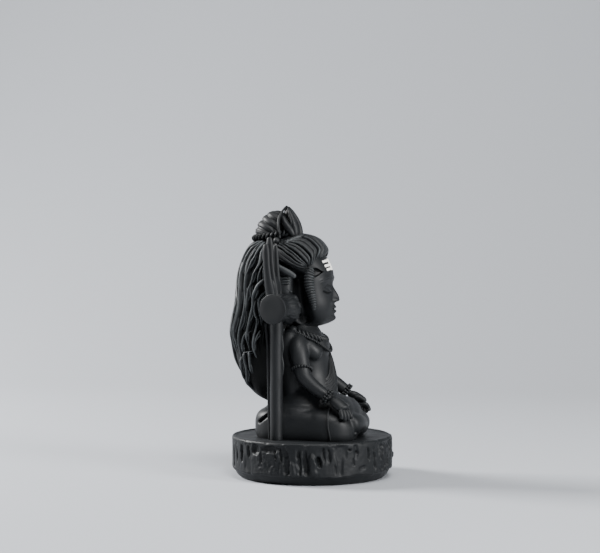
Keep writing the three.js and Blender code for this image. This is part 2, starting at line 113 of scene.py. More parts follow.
def shell(points):
    """A closed skin on a grid of points[row, column]: columns go once round anticlockwise and rows
    go up, with the first row drawn together in one pole and the last row in the other."""
    rows, columns = points.shape[:2]
    corners = np.vstack([points[0, :1], points[1:-1].reshape(-1, 3), points[-1, :1]])
    j = np.arange(columns)
    a = 1 + np.arange(rows - 3)[:, None] * columns + j
    b = 1 + np.arange(rows - 3)[:, None] * columns + (j + 1) % columns
    quads = np.stack([a, b, b + columns, a + columns], -1).reshape(-1, 4)
    last = 1 + (rows - 3) * columns
    low = np.stack([0 * j, 1 + (j + 1) % columns, 1 + j], -1)
    high = np.stack([0 * j + len(corners) - 1, last + j, last + (j + 1) % columns], -1)
    loops = np.concatenate([quads.ravel(), low.ravel(), high.ravel()])
    sizes = np.concatenate([np.full(len(quads), 4), np.full(2 * columns, 3)])
    return corners, loops, sizes


def mesh_of(name, skins):
    """One mesh of several skins, from millimetres above the plinth's top to metres."""
    corners = np.vstack([s[0] for s in skins])
    first = np.cumsum([0] + [len(s[0]) for s in skins[:-1]])
    loops = np.concatenate([s[1] + f for s, f in zip(skins, first)]).astype(np.int32)
    sizes = np.concatenate([s[2] for s in skins])
    mesh = bpy.data.meshes.new(name)
    mesh.vertices.add(len(corners))
    mesh.vertices.foreach_set("co", ((corners + [0, 0, PLINTH_TOP]) / 1000).astype(np.float32).ravel())
    mesh.loops.add(len(loops))
    mesh.loops.foreach_set("vertex_index", loops)
    mesh.polygons.add(len(sizes))
    mesh.polygons.foreach_set("loop_start", np.concatenate([[0], np.cumsum(sizes)[:-1]]).astype(np.int32))
    mesh.update(calc_edges=True)
    mesh.validate()
    mesh.shade_smooth()
    return mesh


def linear(colour):
    """An sRGB hex colour as linear values."""
    c = np.array([int(colour[i : i + 2], 16) for i in (1, 3, 5)]) / 255
    return (*np.where(c <= 0.04045, c / 12.92, ((c + 0.055) / 1.055) ** 2.4), 1.0)


def node(tree, kind, settings=None, **links):
    """Adds a node to a tree with its settings, and its inputs linked or set by name, or by number
    where the name is _0, _1 and so on."""
    made = tree.nodes.new(kind)
    for key, value in (settings or {}).items():
        setattr(made, key, value)
    for key, value in links.items():
        name = key.replace("_", " ")
        socket = made.inputs[int(name[1:])] if name[1:].isdigit() else made.inputs[name]
        if isinstance(value, bpy.types.NodeSocket):
            tree.links.new(value, socket)
        else:
            socket.default_value = value
    return made


# Cast polyester resin, filled and sprayed a satin to matt black: the eye sees a charcoal with a soft
# broad sheen and a fine grain from the mould. A lighter grey is painted on the high places as a painted
# highlight that also stands for wear from handling, and a deeper black is painted in the hollows as painted
# shade.
# The grey is a painted highlight on raised edges, which also stands for wear from handling.
RESIN_HIGHLIGHT_AND_WEAR = "#54585A"
RESIN_MAIN = "#121416"
# The deepest black is painted shade, for the hollows and for the mass under the hair's locks.
RESIN_PAINTED_SHADE = "#070808"
RESIN_GLOSS = 0.51
RESIN_SHEEN = 0.26


def black_resin(name, marks=None, main=RESIN_MAIN, sheen=RESIN_SHEEN, edge_highlight_and_wear=True):
    """The resin's material, with painted shade in its hollows. marks(tree, place) may give a mask for white
    paint, and the last argument lightens the raised edges with a painted highlight that also stands for wear
    from handling."""
    made = bpy.data.materials.new(name)
    made.use_nodes = True
    tree = made.node_tree

    def blend(share, first, second):
        return node(tree, "ShaderNodeMix", {"data_type": "RGBA"}, _0=share, _6=first, _7=second).outputs[2]

    shader = tree.nodes["Principled BSDF"]
    place = node(tree, "ShaderNodeTexCoord").outputs["Object"]
    patches = node(tree, "ShaderNodeTexNoise", Vector=place, Scale=260.0, Detail=3.0)
    grain = node(tree, "ShaderNodeTexNoise", Vector=place, Scale=2600.0, Detail=4.0, Roughness=0.6)
    pointiness_for_painted_light = node(tree, "ShaderNodeNewGeometry").outputs["Pointiness"]
    # Painted shade: where the surface is hollow, by pointiness, the colour goes to the deepest black.
    deep = node(tree, "ShaderNodeMapRange", Value=pointiness_for_painted_light, From_Min=0.475, From_Max=0.41)
    colour = blend(deep.outputs[0], linear(main), linear(RESIN_PAINTED_SHADE))
    if edge_highlight_and_wear:
        # Painted highlight, which also stands for wear from handling: raised edges, by pointiness, go grey
        # in patches.
        high = node(tree, "ShaderNodeMapRange", Value=pointiness_for_painted_light, From_Min=0.515, From_Max=0.58)
        light = node(tree, "ShaderNodeMath", {"operation": "MULTIPLY"}, _0=high.outputs[0],
                     _1=patches.outputs[0])
        colour = blend(light.outputs[0], colour, linear(RESIN_HIGHLIGHT_AND_WEAR))
    gloss = node(tree, "ShaderNodeMapRange", Value=patches.outputs[0], From_Min=0.3, From_Max=0.7,
                 To_Min=RESIN_GLOSS - 0.05, To_Max=RESIN_GLOSS + 0.07).outputs[0]
    if marks:
        colour = blend(marks(tree, place), colour, linear(PAINT))
    tree.links.new(colour, shader.inputs["Base Color"])
    tree.links.new(gloss, shader.inputs["Roughness"])
    shader.inputs["Specular IOR Level"].default_value = sheen
    bump = node(tree, "ShaderNodeBump", Height=grain.outputs[0], Strength=0.25, Distance=0.00006)
    tree.links.new(bump.outputs[0], shader.inputs["Normal"])
    return made


# Three finishes of it: plain on skin, cloth and ornaments, a grey painted highlight on the raised edges of
# the hair's locks that also stands for wear from handling, and with less sheen on the rock. Each has painted
# shade in its hollows.
RESIN = black_resin("matte_black_resin", edge_highlight_and_wear=False)
HIGHLIT_EDGES_AND_WEAR = black_resin("black_resin_with_painted_highlight_and_wear_on_its_edges")
ROCK = black_resin("flat_black_resin_of_the_rock", sheen=0.2, edge_highlight_and_wear=False)
MOST_TRIANGLES = 180000


def cast(name, mesh, material=RESIN):
    """A piece of the casting, thinned to the most triangles that a piece keeps: it rides on the one
    body and stands for the solid."""
    piece = bpy.data.objects.new(name, mesh)
    bpy.context.scene.collection.objects.link(piece)
    mesh.materials.append(material)
    triangles = sum(len(p.vertices) - 2 for p in mesh.polygons)
    if triangles > MOST_TRIANGLES:
        thin = piece.modifiers.new("thin", "DECIMATE")
        thin.ratio = MOST_TRIANGLES / triangles
    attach(piece, "root")
    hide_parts("seated_figure")
    return piece


# Marks in the rock face, as [angle, height, half width, half height, depth]: the slots, hollows and
# pits that show on the right side, with raised ribs as less than 0, then others round the rest.
MARKS = np.array([
    [108, 10.5, 0.9, 4.0, 1.2], [115, 9.0, 0.7, 4.6, 1.0], [122, 10.5, 0.6, 3.6, 0.9],
    [130, 11.0, 0.8, 3.4, 1.3], [138, 12.0, 0.6, 2.6, 0.9], [146, 13.4, 2.0, 2.2, 1.2],
    [151, 10.6, 0.5, 2.4, 0.7], [159, 13.9, 3.8, 1.5, 1.0], [163, 11.6, 0.5, 2.6, 0.9],
    [167, 11.5, 0.5, 3.4, 0.9], [171.5, 8.5, 1.5, 4.8, 1.1], [176, 6.5, 1.1, 3.4, -0.7],
    [180.5, 9.0, 0.8, 4.8, 1.0], [182.6, 11.5, 0.5, 2.8, -0.4], [185.2, 9.0, 1.0, 5.0, 1.0],
    [190.4, 8.0, 1.5, 5.0, -1.2], [194.6, 9.6, 0.8, 2.8, 1.7], [197.6, 12.0, 0.5, 3.2, 0.8],
    [201.5, 12.0, 0.45, 3.2, 0.7], [206, 6.4, 0.5, 2.4, 0.5], [216.8, 14.0, 0.7, 0.6, 0.9],
    [222.6, 12.6, 0.6, 0.8, 0.8], [220, 9.0, 0.45, 1.6, 0.6], [227, 6.5, 1.4, 1.2, 0.5],
    [232.6, 11.5, 0.6, 3.0, 1.1], [239, 9.0, 0.6, 4.8, 0.9], [248, 11.5, 0.8, 3.0, 1.0],
    [256, 7.5, 0.9, 2.6, 0.9], [264, 11.8, 0.8, 3.2, 1.1], [271, 8.0, 0.7, 3.4, 0.9],
])
SEEDED = np.random.default_rng(7)
FAR_MARKS = np.stack([
    np.linspace(278, 460, 40) + SEEDED.uniform(-2, 2, 40),
    SEEDED.uniform(7, 13, 40),
    SEEDED.uniform(0.45, 1.6, 40),
    SEEDED.uniform(1.5, 4.8, 40),
    np.where(np.arange(40) % 4, 1, -0.8) * SEEDED.uniform(0.5, 1.3, 40),
], -1)


def rock_depth(turn, z):
    """How far the rock face lies inside the plinth's radius: broad flats, upright ribs and splits,
    gouges, and a crumbly patch. turn is in degrees round from the figure's left."""
    u = turn / 360
    broad = hills(u * 22, z / 8, 22) + 0.5 * hills(u * 43, z / 4 + 5, 43)
    split = smooth(0.62, 0.9, hills(u * 84 + 0.4 * hills(u * 50, z / 3, 50), z / 6.5 + 3, 84))
    crumb = hills(u * 190, z / 1.0, 190) + 0.6 * hills(u * 380, z / 0.5, 380)
    crumbly = np.maximum(bell((turn - 157) / 11, 1) * bell((z - 7.3) / 3.6, 1), bell((turn - 257) / 14, 1))
    depth = 0.32 * broad + 0.55 * split + (0.06 + 0.36 * crumbly) * crumb
    warp = 0.6 * (hills(u * 120, z / 1.7, 120) - 0.5) + 0.16 * (hills(u * 300, z / 0.8, 300) - 0.5)
    for angle, height, wide, tall, deep in np.vstack([MARKS, FAR_MARKS]):
        away = ((turn - angle + 180) % 360 - 180) * np.radians(1) * PLINTH_RADIUS
        off = np.abs(z - height + 2 * warp) / tall
        taper = 0.25 + 0.95 * np.sqrt(np.clip(1 - off**2, 0, 1))
        across = np.abs(away + 0.1 * (z - height) + warp) / (wide * taper)
        depth = depth + 0.95 * deep * smooth(1.15, 0.35, across) * smooth(1.1, 0.5, off)
    craggy = bell((turn - 256) / 13, 1) * smooth(16, 11, z)
    chip = smooth(0.6, 0.9, hills(u * 60, 7, 60)) * smooth(12.5, 16, z)
    return depth + 0.5 * chip - 0.6 * craggy - 0.35


def plinth_skin():
    """A turned profile of radius and height, from the middle of the underside out over the band
    and the rock face to the middle of the top. The band widens as it rises to its wandering edge,
    where the rock face's depth takes over, and the lip is chipped."""
    columns = 620
    turn = np.arange(columns) * 360 / columns
    under = [(r, 0.0) for r in (0, 9, 18, 24, 27.6)] + [(28.6, 0.12), (29.1, 0.5)]
    side = [(PLINTH_RADIUS, z) for z in [*np.linspace(0.9, 2.4, 6), *np.linspace(2.6, 15.7, 50)]]
    lip = [(32.0, 15.85), (31.9, 16.15), (31.65, 16.42), (31.25, 16.55), (30.85, 16.45), (30.5, 16.2),
           (29.4, 16.05)]
    top = [(r, 16.05) for r in (27.5, 24, 18, 12, 6, 0)]
    r, z = (a[:, None] for a in np.array(under + side + lip + top).T)
    r, z = r + 0 * turn, z + 0 * turn
    edge = BAND_TOP - 0.3 + 0.9 * (hills(turn / 360 * 26, 2.0, 26) - 0.5)
    edge = edge + 0.5 * (hills(turn / 360 * 70, 4.0, 70) - 0.5)
    foot = mix(FOOT_RADIUS, 31.5, np.clip((z - 0.5) / (BAND_TOP - 0.5), 0, 1) ** 0.75)
    rock = PLINTH_RADIUS - rock_depth(turn, z)
    on_face = smooth(-0.35, 0.35, z - edge)
    outer = mix(foot, rock, on_face)
    stands = (r > 28.9) & (z > 0.55) & (z < 15.8)
    settle = smooth(16.3, 14.9, z)
    chip = 0.4 * (r > 29) * (z > 15.8) * smooth(0.55, 0.8, hills(turn / 360 * 60, 7, 60))
    r = np.where(stands, mix(r, outer, settle), r - chip)
    a = np.radians(turn)
    ripple = 0.12 * (hills(r * np.cos(a) / 5 + 50, r * np.sin(a) / 5 + 50) - 0.5) * (z > 15.9)
    return shell(np.stack([r * np.cos(a), r * np.sin(a), z - PLINTH_TOP + ripple], -1))


cast("plinth", mesh_of("plinth", [plinth_skin()]), ROCK)


# The body is a plump child sitting cross-legged on the plinth: bare chest, round arms, hands laid
# palm down on the knees, and a plain cloth over the hips and thighs. It is one soft form.
RIGHT, LEFT = -1, 1


def on_side(side, points):
    """Points given for the left side, put on the side asked for."""
    return np.array(points, float) * [side, 1, 1]


def curve(points, s):
    """A smooth line through the points (each span is a cubic that leaves along the line between
    its neighbours), read at shares s from 0 to 1."""
    p = np.array(points, float)
    p = np.vstack([2 * p[0] - p[1], p, 2 * p[-1] - p[-2]])
    k = np.clip(s, 0, 1) * (len(points) - 1)
    i = np.minimum(k.astype(int), len(points) - 2)
    t = (k - i)[:, None]
    a, b, c, d = p[i], p[i + 1], p[i + 2], p[i + 3]
    return 0.5 * (2 * b + (c - a) * t + (2 * a - 5 * b + 4 * c - d) * t**2 + (3 * b - a - 3 * c + d) * t**3)


def unit(v):
    return v / np.maximum(np.linalg.norm(v, axis=-1, keepdims=True), 1e-9)


def around(count):
    """Even angles once round, in radians."""
    return np.arange(count) * 2 * np.pi / count


def limb(points, radii, sides=20, rings=48, flat=1.0, facing=(0, 0, 1), ripple=None, cap=0.8):
    """A round-ended limb along a smooth curve. Its radius runs through `radii` at even shares, flat
    squeezes the section along `facing` (one direction, or one for each point), and
    ripple(turn, s) may scale the radius."""
    ends = np.linspace(0, 1, len(radii))
    wide = through(*zip(ends, radii))
    length = np.linalg.norm(np.diff(curve(points, np.linspace(0, 1, 60)), axis=0), axis=1).sum()
    first = min(0.3, cap * radii[0] / length)
    final = min(0.3, cap * radii[-1] / length)
    arc = np.linspace(0, np.pi / 2, 5)
    s = np.concatenate([first * (1 - np.cos(arc))[:-1], np.linspace(first, 1 - final, rings),
                        1 - final * (1 - np.cos(arc))[-2::-1]])
    scale = np.concatenate([np.sin(arc)[:-1], np.ones(rings), np.sin(arc)[-2::-1]])
    middle = curve(points, s)
    ahead = unit(curve(points, s + 0.004) - curve(points, s - 0.004))
    look = np.array(facing, float)
    look = curve(look, s) if look.ndim == 2 else look + 0 * middle
    side = unit(np.cross(look, ahead))
    out = np.cross(ahead, side)
    turn = around(sides)
    radius = (wide(s) * scale)[:, None] + 0 * turn
    if ripple:
        radius = radius * ripple(turn[None, :], s[:, None])
    return shell(middle[:, None] + side[:, None] * (radius * np.cos(turn))[..., None]
                 + out[:, None] * (radius * flat * np.sin(turn))[..., None])


def ball(centre, radii, sides=36, rings=24, bluntness=2.0):
    """A sphere stretched by radii and pushed out towards a block by bluntness."""
    rise = np.linspace(-np.pi / 2, np.pi / 2, rings)[:, None]
    turn = around(sides)
    ring = blunt(np.clip(np.cos(rise), 0, 1), bluntness)
    x = ring * blunt(np.cos(turn), bluntness)
    y = ring * blunt(np.sin(turn), bluntness)
    return shell(np.stack([x, y, blunt(np.sin(rise), bluntness) + 0 * x], -1) * radii + centre)


def fused(skins, voxel, passes):
    """Melts closed skins into one: the space they fill is cut in voxels, its outside is meshed
    again, and the new skin is smoothed, so that the junctions are soft as if modelled in wax."""
    lump = bpy.data.objects.new("wax", mesh_of("wax", skins))
    bpy.context.scene.collection.objects.link(lump)
    melt = lump.modifiers.new("melt", "REMESH")
    melt.mode, melt.voxel_size = "VOXEL", voxel / 1000
    even = lump.modifiers.new("even", "SMOOTH")
    even.factor, even.iterations = 0.5, passes
    seen = lump.evaluated_get(bpy.context.evaluated_depsgraph_get())
    mesh = bpy.data.meshes.new_from_object(seen)
    corners = np.empty(len(mesh.vertices) * 3, np.float32)
    mesh.vertices.foreach_get("co", corners)
    loops = np.empty(len(mesh.loops), np.int32)
    mesh.loops.foreach_get("vertex_index", loops)
    sizes = np.empty(len(mesh.polygons), np.int32)
    mesh.polygons.foreach_get("loop_total", sizes)
    old = lump.data
    bpy.data.objects.remove(lump)
    bpy.data.meshes.remove(old)
    bpy.data.meshes.remove(mesh)
    return corners.reshape(-1, 3).astype(float) * 1000 - [0, 0, PLINTH_TOP], loops, sizes


def seat_skin():
    """An oval box with blunt corners: narrow and upright at the back, wide at the knees, with a
    shallow fold on each thigh, drawn in a little at the back and between the knees."""
    front, back = -20.4, 22.0
    rise = np.linspace(-np.pi / 2, np.pi / 2, 80)[:, None]
    turn = around(180)
    ring = blunt(np.clip(np.cos(rise), 0, 1), 4.5)
    y = mix(front, back, 0.5 + 0.5 * ring * blunt(np.sin(turn), 4))
    half = through([-20.4, 20.4], [-14, 20.7], [-8, 20.3], [0, 19], [8, 17.8], [16, 16.6], [22, 15.4])(y)
    top = through([-20.4, 8.5], [-17, 10.4], [-12, 12], [-6, 12.5], [22, 12.4])(y)
    x = ring * blunt(np.cos(turn), 4) * half
    z = mix(-3.4, top, 0.5 + 0.5 * blunt(np.sin(rise), 3.4)) + 0 * x
    side = smooth(0.5, 0.9, np.abs(x) / half)
    fold = 0.4 * bell((y + 2.6 + 0.25 * (z - 9)), 1.1) * bell(z - 9.5, 3.6) * side
    waist = 0.5 * smooth(0, 16, y) * bell(z - 7, 5)
    y = y + 2.6 * bell(x, 8) * smooth(-8, -18, y)
    return shell(np.stack([x * (1 - fold / 20 - waist / 30), y, z], -1))


# Each arm's middle line from the neck over the shoulder and elbow to the wrist, and how far its
# hand lies from the place that palm_skin and finger_skins give.
ARM = {
    RIGHT: {
        "line": [[-4.6, 3.4, 41.0], [-11.9, 3.5, 35.6], [-13.9, 2.0, 29], [-14.9, 0.6, 24.6],
                 [-15.3, -3, 21], [-15.5, -6.6, 18.4], [-16.2, -10, 16.4]],
        "hand": [0, 0, 0],
    },
    LEFT: {
        "line": [[4.6, 3.4, 41.0], [11.9, 3.5, 35.6], [13.9, 1.8, 29.2], [14.9, -0.2, 25],
                 [15.3, -5.2, 21.2], [15.4, -9.6, 18.0], [15.8, -12.6, 15.7]],
        "hand": [0, -2.2, -0.7],
    },
}
ARM_RADII = [3.4, 3.9, 3.5, 3.2, 2.8, 2.6, 2.3]


def palm_skin(side):
    """The back of the hand: a flat limb from the wrist to the knuckles."""
    line = on_side(side, [[16.2, -10.0, 16.4], [17.3, -12.9, 14.6], [18.3, -15.2, 12.9],
                          [18.9, -16.0, 11.8]])
    return limb(line + ARM[side]["hand"], [2.3, 2.7, 2.7, 2.3], sides=24, flat=0.72,
                facing=(side * 0.6, -0.25, 0.75))


def finger_skins(side):
    """Four plump fingers side by side, from inside the hand over the knuckles and down on the
    knee, and a thumb inside them."""
    moved = ARM[side]["hand"]
    made = []
    for i, drop in enumerate((8.5, 7.8, 7.8, 8.8)):
        line = on_side(side, [[16.6 - 0.3 * i, -12.2 - 0.7 * i, 13.2 - 0.4 * i],
                              [18.6 - 0.6 * i, -14.2 - 0.95 * i, 12.9 - 0.4 * i],
                              [20.3 - 0.8 * i, -15.0 - 1.08 * i, 10.7 - 0.25 * i],
                              [20.5 - 1.0 * i, -15.2 - 1.12 * i, drop]])
        made.append(limb(line + moved, [0.6, 0.95, 0.92, 0.76], sides=16, rings=40))
    thumb = on_side(side, [[15.6, -12.4, 14.9], [15.0, -15.2, 14.4], [15.2, -17.4, 13.2]])
    made.append(limb(thumb + moved, [1.3, 1.1, 0.85], sides=16, rings=20))
    return made


def sole(side, lift):
    """The middle line of a tucked foot, from the heel to the ball of the foot on the other side."""
    return on_side(side, [[-4.6, -17, 3.4 + lift], [-8, -17.8, 3 + lift], [-11, -17.4, 2.6 + lift]])


def toe_skins(side, lift):
    """The toes of a tucked foot, in a row."""
    made = []
    for i, r in enumerate((1.15, 0.9, 0.85, 0.8, 0.7)):
        base = np.array([-11, -18.8 + 1.1 * i, 2.2 + 0.3 * i + lift])
        line = on_side(side, [base, base + [-1.5, 0, 0.1], base + [-2.7 + 0.3 * i, 0, -0.2]])
        made.append(limb(line, [r, r, 0.9 * r], sides=12, rings=10))
    return made


def trunk_skin():
    """An oval section at each height, from inside the seat up into the head: full belly, soft
    waist, child's shoulders."""
    z = mix(6, 50, np.linspace(0, 1, 90))[:, None]
    middle = through([6, 1.5], [14, 2.2], [20, 0.9], [26, 0.4], [33, 1.1], [38, 2.2], [43, 2.9], [50, 3])(z)
    width = through([6, 16], [14, 14.4], [20, 12.0], [26, 10.2], [33, 10.9], [37.5, 10.8], [41, 8.8],
                    [44, 6], [50, 5.2])(z)
    depth = through([6, 14], [14, 13], [20, 10.9], [26, 8.2], [33, 7.7], [38, 7.0], [41, 6.6],
                    [44, 5.2], [50, 4.8])(z)
    ring = np.sqrt(np.clip(1 - np.abs(2 * (z - 6) / 44 - 1) ** 14, 0, 1))
    turn = around(90)
    x, y = ring * width * np.cos(turn), middle + ring * depth * np.sin(turn)
    return shell(np.stack([x, y, z + 0 * x], -1))


# Seat, chest, lap, trunk, belly, back and hips are wax forms that melt into one, with the shins,
# breasts, shoulder blades, arms, palms and feet of both sides.
body = [
    seat_skin(),
    ball([0, -2.2, 35.0], [7.6, 4.8, 5.4], bluntness=2.5),
    ball([0, -8.5, 7.5], [16, 10.2, 9.4]),
    ball([4, -12, 8.0], [13, 7.6, 7.4]),
    trunk_skin(),
    ball([0, -1.2, 18.5], [9.6, 9.2, 7]),
    ball([0, 6.2, 24], [13.2, 8.6, 17]),
    ball([0, 3, 9.5], [17.2, 16, 7.2]),
]
fingers = []
for side in (RIGHT, LEFT):
    lift = 1.2 if side == RIGHT else 0
    shin = on_side(side, [[14, -16, 5.2], [9, -18.0, 4.8 + lift], [2, -18.8, 4 + lift],
                          [-6, -18.4, 3.4 + lift]])
    breast = on_side(side, [[10.0, 2.4, 37.8], [8.8, -1.0, 34.8], [6.8, -3.9, 31.4]])
    body += [limb(shin, [4.4, 4.2, 3.8, 3.2]), limb(breast, [3.3, 3.6, 3.7], cap=1.0)]
    body.append(ball([side * 9.8, 7.6, 34.5], [3.8, 5.0, 8.5]))
    body.append(limb(ARM[side]["line"], ARM_RADII, sides=32, rings=60, facing=(1, 0, 0)))
    body += [palm_skin(side), limb(sole(side, lift), [2.8, 2.9, 2.4], flat=0.8)]
    fingers += finger_skins(side) + toe_skins(side, lift)
    hem = on_side(side, [[13, -9.6, 12.6], [16.6, -9.5, 12.0], [19.0, -9.5, 10.6], [20.2, -9.6, 8.4],
                         [20.4, -9.7, 5.8], [20.3, -10.1, 3.3], [19.9, -10.6, 0.2]])
    fingers.append(limb(hem, [0.3, *[0.35] * 5, 0.3], sides=12, facing=(0, 1, 0)))
corners, loops, sizes = fused(body, 0.32, 26)

# Two slanting slots are pressed into the cloth behind each hip, from one [back, up] end to the other.
for y0, z0, y1, z1 in ((19.8, 10.6, 14.4, 13.9), (18.9, 6.3, 14.0, 10.2)):
    x, y, z = corners.T
    t = np.clip(((y - y0) * (y1 - y0) + (z - z0) * (z1 - z0)) / ((y1 - y0) ** 2 + (z1 - z0) ** 2), 0, 1)
    slot = bell(np.hypot(y - mix(y0, y1, t), z - mix(z0, z1, t)), 0.5) * smooth(8, 11, np.abs(x))
    corners = corners - np.stack([np.sign(x) * 1.5 * slot, 0.8 * slot, 0 * slot], -1)
body_skin = corners, loops, sizes


# The sash is a gathered cloth carved on the body: it hangs from the left shoulder, runs down the
# middle of the chest, and fans out in folds to the right hip.
def sash_skin():
    """A flattened limb with fine folds along it, closer together as they near the shoulder."""
    line = [[8, 0.6, 41], [4.2, -4.6, 34], [1.2, -7.2, 27.5],
            [-2.6, -8.0, 21.5], [-7.2, -5.4, 17.0], [-10.6, -1.2, 14.6]]
    facing = [[0.2, -1, 0.6], [0, -1, 0.2], [-0.1, -1, 0.1],
              [-0.35, -1, 0.1], [-0.7, -0.8, 0.15], [-1, -0.5, 0.2]]

    def folds(turn, s):
        ridge = np.abs(np.sin(7.5 * (np.cos(turn) * 1.9 + 0.5 * s)))
        return 1 + 0.2 * (ridge**0.6 - 0.7) * smooth(0.05, 0.2, s)

    return limb(line, [2.6, 3.1, 3.5, 4.2, 4.8, 5.0], sides=120, rings=90, flat=0.5, facing=facing,
                ripple=folds)


cast("body", mesh_of("body", [body_skin, sash_skin(), *fingers]))


# The head is a child's: round, with full cheeks, closed eyes and a small calm mouth. Three white
# stripes and an upright mark are painted on the forehead.
HEAD_MIDDLE = 2.6
head_front = through([42.8, 3.4], [44.2, 8.6], [46.4, 11.0], [49.5, 11.5], [56, 11.2], [60, 11], [63, 11.2],
                     [66, 10.9], [69, 9.7], [72, 8], [76, 4])
head_back = through([42.8, 3], [50, 8.5], [60, 11], [70, 11], [76, 6])
head_half = through([42.8, 3.6], [44.2, 7.4], [46.9, 9.9], [50.6, 12.0], [56, 12.8], [62, 12.9], [68, 12.2],
                    [72, 10.4], [76, 6])


def face_relief(x, z):
    """How far the face stands out at a place across and up it: brows, nose, closed lids, cheeks,
    lips and chin as bells, and the lash and lip lines as narrow grooves along shallow arcs."""
    a = np.abs(x)
    nose = 2.4 * bell(a, 1.25 + 0.45 * smooth(58, 54.5, z)) * smooth(61, 54.8, z) * smooth(52.7, 54.1, z)
    wings = 0.9 * bell(np.hypot(a - 1.65, z - 54.1), 0.95)
    nostrils = -0.5 * bell(np.hypot((a - 0.8) / 1.1, z - 53.3), 0.45)
    socket = -1.15 * bell(a - 4.6, 2.6) * bell(z - 59.3, 2.0)
    lid = 1.0 * bell(a - 4.8, 2.3) * bell(z - 58.3, 1.5)
    reach = smooth(3.3, 2.6, np.abs(a - 5.6))
    lash = -1.15 * bell(z - 57.2 - 0.09 * (a - 5.6) ** 2, 0.3) * reach
    crease = -0.22 * bell(z - 60.3 + 0.1 * (a - 4.8) ** 2, 0.3) * reach
    brow = 0.34 * bell(z - 63.6 + 0.06 * (a - 5.2) ** 2, 0.4) * smooth(5.0, 3.4, np.abs(a - 5.6))
    brow = brow + 0.24 * bell(z - 62.6 + 0.06 * (a - 5.2) ** 2, 0.36) * smooth(4.6, 3.0, np.abs(a - 5.8))
    lips = 0.95 * bell(a, 2.1) * bell(z - 51.4 - 0.1 * bell(a - 0.9, 0.7), 0.8)
    lips = lips + 0.95 * bell(a, 1.8) * bell(z - 49.7, 0.85)
    mouth = -0.55 * bell(z - 50.6 - 0.04 * a * a, 0.28) * smooth(3.0, 2.4, a)
    below = -0.35 * bell(a, 2.4) * bell(z - 48.4, 0.6)
    philtrum = -0.22 * bell(a, 0.4) * bell(z - 52.5, 0.6)
    chin = 1.2 * bell(a, 2.8) * bell(z - 46.7, 1.7)
    cheek = 0.6 * bell(a - 6.8, 3.2) * bell(z - 53, 3.2)
    return (nose + wings + nostrils + socket + lid + lash + crease + brow + lips + mouth + below + philtrum
            + chin + cheek)


def head_skin():
    """Rings of varying depth and width, with the face's relief added to the front, a deep hollow
    cut behind each cheek, where the hair stands away, and a leaf-shaped one at each temple."""
    rows, columns = ((200, 240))
    along = np.linspace(0, 1, rows)[:, None] - 0.5
    z = mix(42.8, 76, np.clip(0.5 + 1.14 * along - 0.56 * along**3, 0, 1))
    ring = np.sqrt(np.clip(1 - np.abs(2 * along) ** 10, 0, 1))
    turn = around(columns)
    lean = turn - 0.5 * np.cos(turn)
    c, s = np.cos(lean), np.sin(lean)
    x = ring * head_half(z) * c
    behind = HEAD_MIDDLE + ring * head_back(z) * s
    ahead = HEAD_MIDDLE - ring * head_front(z) * np.abs(s) ** 0.86
    ahead = ahead - smooth(0.15, 0.5, -s) * face_relief(x, z)
    y = np.where(s > 0, behind, ahead)
    hollow = 7.0 * bell((y - 3.2 - 0.12 * (z - 55)) / 3.3, 1) * smooth(43, 48, z) * smooth(67, 62, z)
    leaf_half = 1.7 * smooth(-6.6, -3.0, y) + 0.02
    leaf = ((y + 3.2) / 3.2) ** 2 + ((z - 65.3 + 0.1 * (y + 3.2)) / leaf_half) ** 2
    temple = 2.5 * smooth(1.35, 0.3, leaf) + 0.5 * bell(y + 1.0, 2.0) * bell(z - 66.5, 1.8)
    x = x - np.sign(x) * np.minimum(np.abs(x), (hollow + temple) * smooth(4, 9, np.abs(x)))
    return shell(np.stack([x, y, z + 0 * x], -1))


# Hand-painted white: a matt poster paint, thin enough to lose its edge here and there. Metres: each
# stripe's height and its reach to either side, half its breadth, and the upright mark's sizes.
PAINT = "#E9E7E1"
STRIPES = [(0.0863, 0.0069), (0.0846, 0.0067), (0.0831, 0.0062)]
STRIPE_HALF = 0.00042
UPRIGHT_LOW, UPRIGHT_HIGH, UPRIGHT_HALF = 0.0825, 0.0870, 0.0019
SOFT_EDGE = 0.0001


def forehead_marks(tree, place):
    """Paint where the height is within half a stripe's breadth of one of three arcs that dip
    towards the temples, or within the upright mark at the middle, on the front of the head."""

    def calc(operation, a, b=0.0):
        return node(tree, "ShaderNodeMath", {"operation": operation}, _0=a, _1=b).outputs[0]

    def ranged(value, low, high, to_low=0.0, to_high=1.0):
        return node(tree, "ShaderNodeMapRange", Value=value, From_Min=low, From_Max=high, To_Min=to_low,
                    To_Max=to_high).outputs[0]

    noise = node(tree, "ShaderNodeTexNoise", Vector=place, Scale=900.0, Detail=2.0)
    axes = node(tree, "ShaderNodeSeparateXYZ", Vector=place)
    wide = calc("ABSOLUTE", axes.outputs["X"])
    dip = calc("MULTIPLY", calc("POWER", wide, 2.0), 12.0)
    ragged = ranged(noise.outputs[0], 0.0, 1.0, -0.00014, 0.00014)
    height = calc("ADD", calc("ADD", axes.outputs["Z"], dip), ragged)
    upright = ranged(calc("ADD", wide, ragged), UPRIGHT_HALF + SOFT_EDGE, UPRIGHT_HALF - SOFT_EDGE)
    above = calc("MULTIPLY", upright, calc("GREATER_THAN", height, UPRIGHT_LOW))
    painted = calc("MULTIPLY", above, calc("LESS_THAN", height, UPRIGHT_HIGH))
    for level, reach in STRIPES:
        off = calc("ABSOLUTE", calc("SUBTRACT", height, level))
        across = ranged(off, STRIPE_HALF + SOFT_EDGE, STRIPE_HALF - SOFT_EDGE)
        stripe = calc("MULTIPLY", across, ranged(wide, reach, reach - 3 * SOFT_EDGE))
        painted = calc("MAXIMUM", painted, stripe)
    return calc("MULTIPLY", painted, calc("LESS_THAN", axes.outputs["Y"], 0.0))


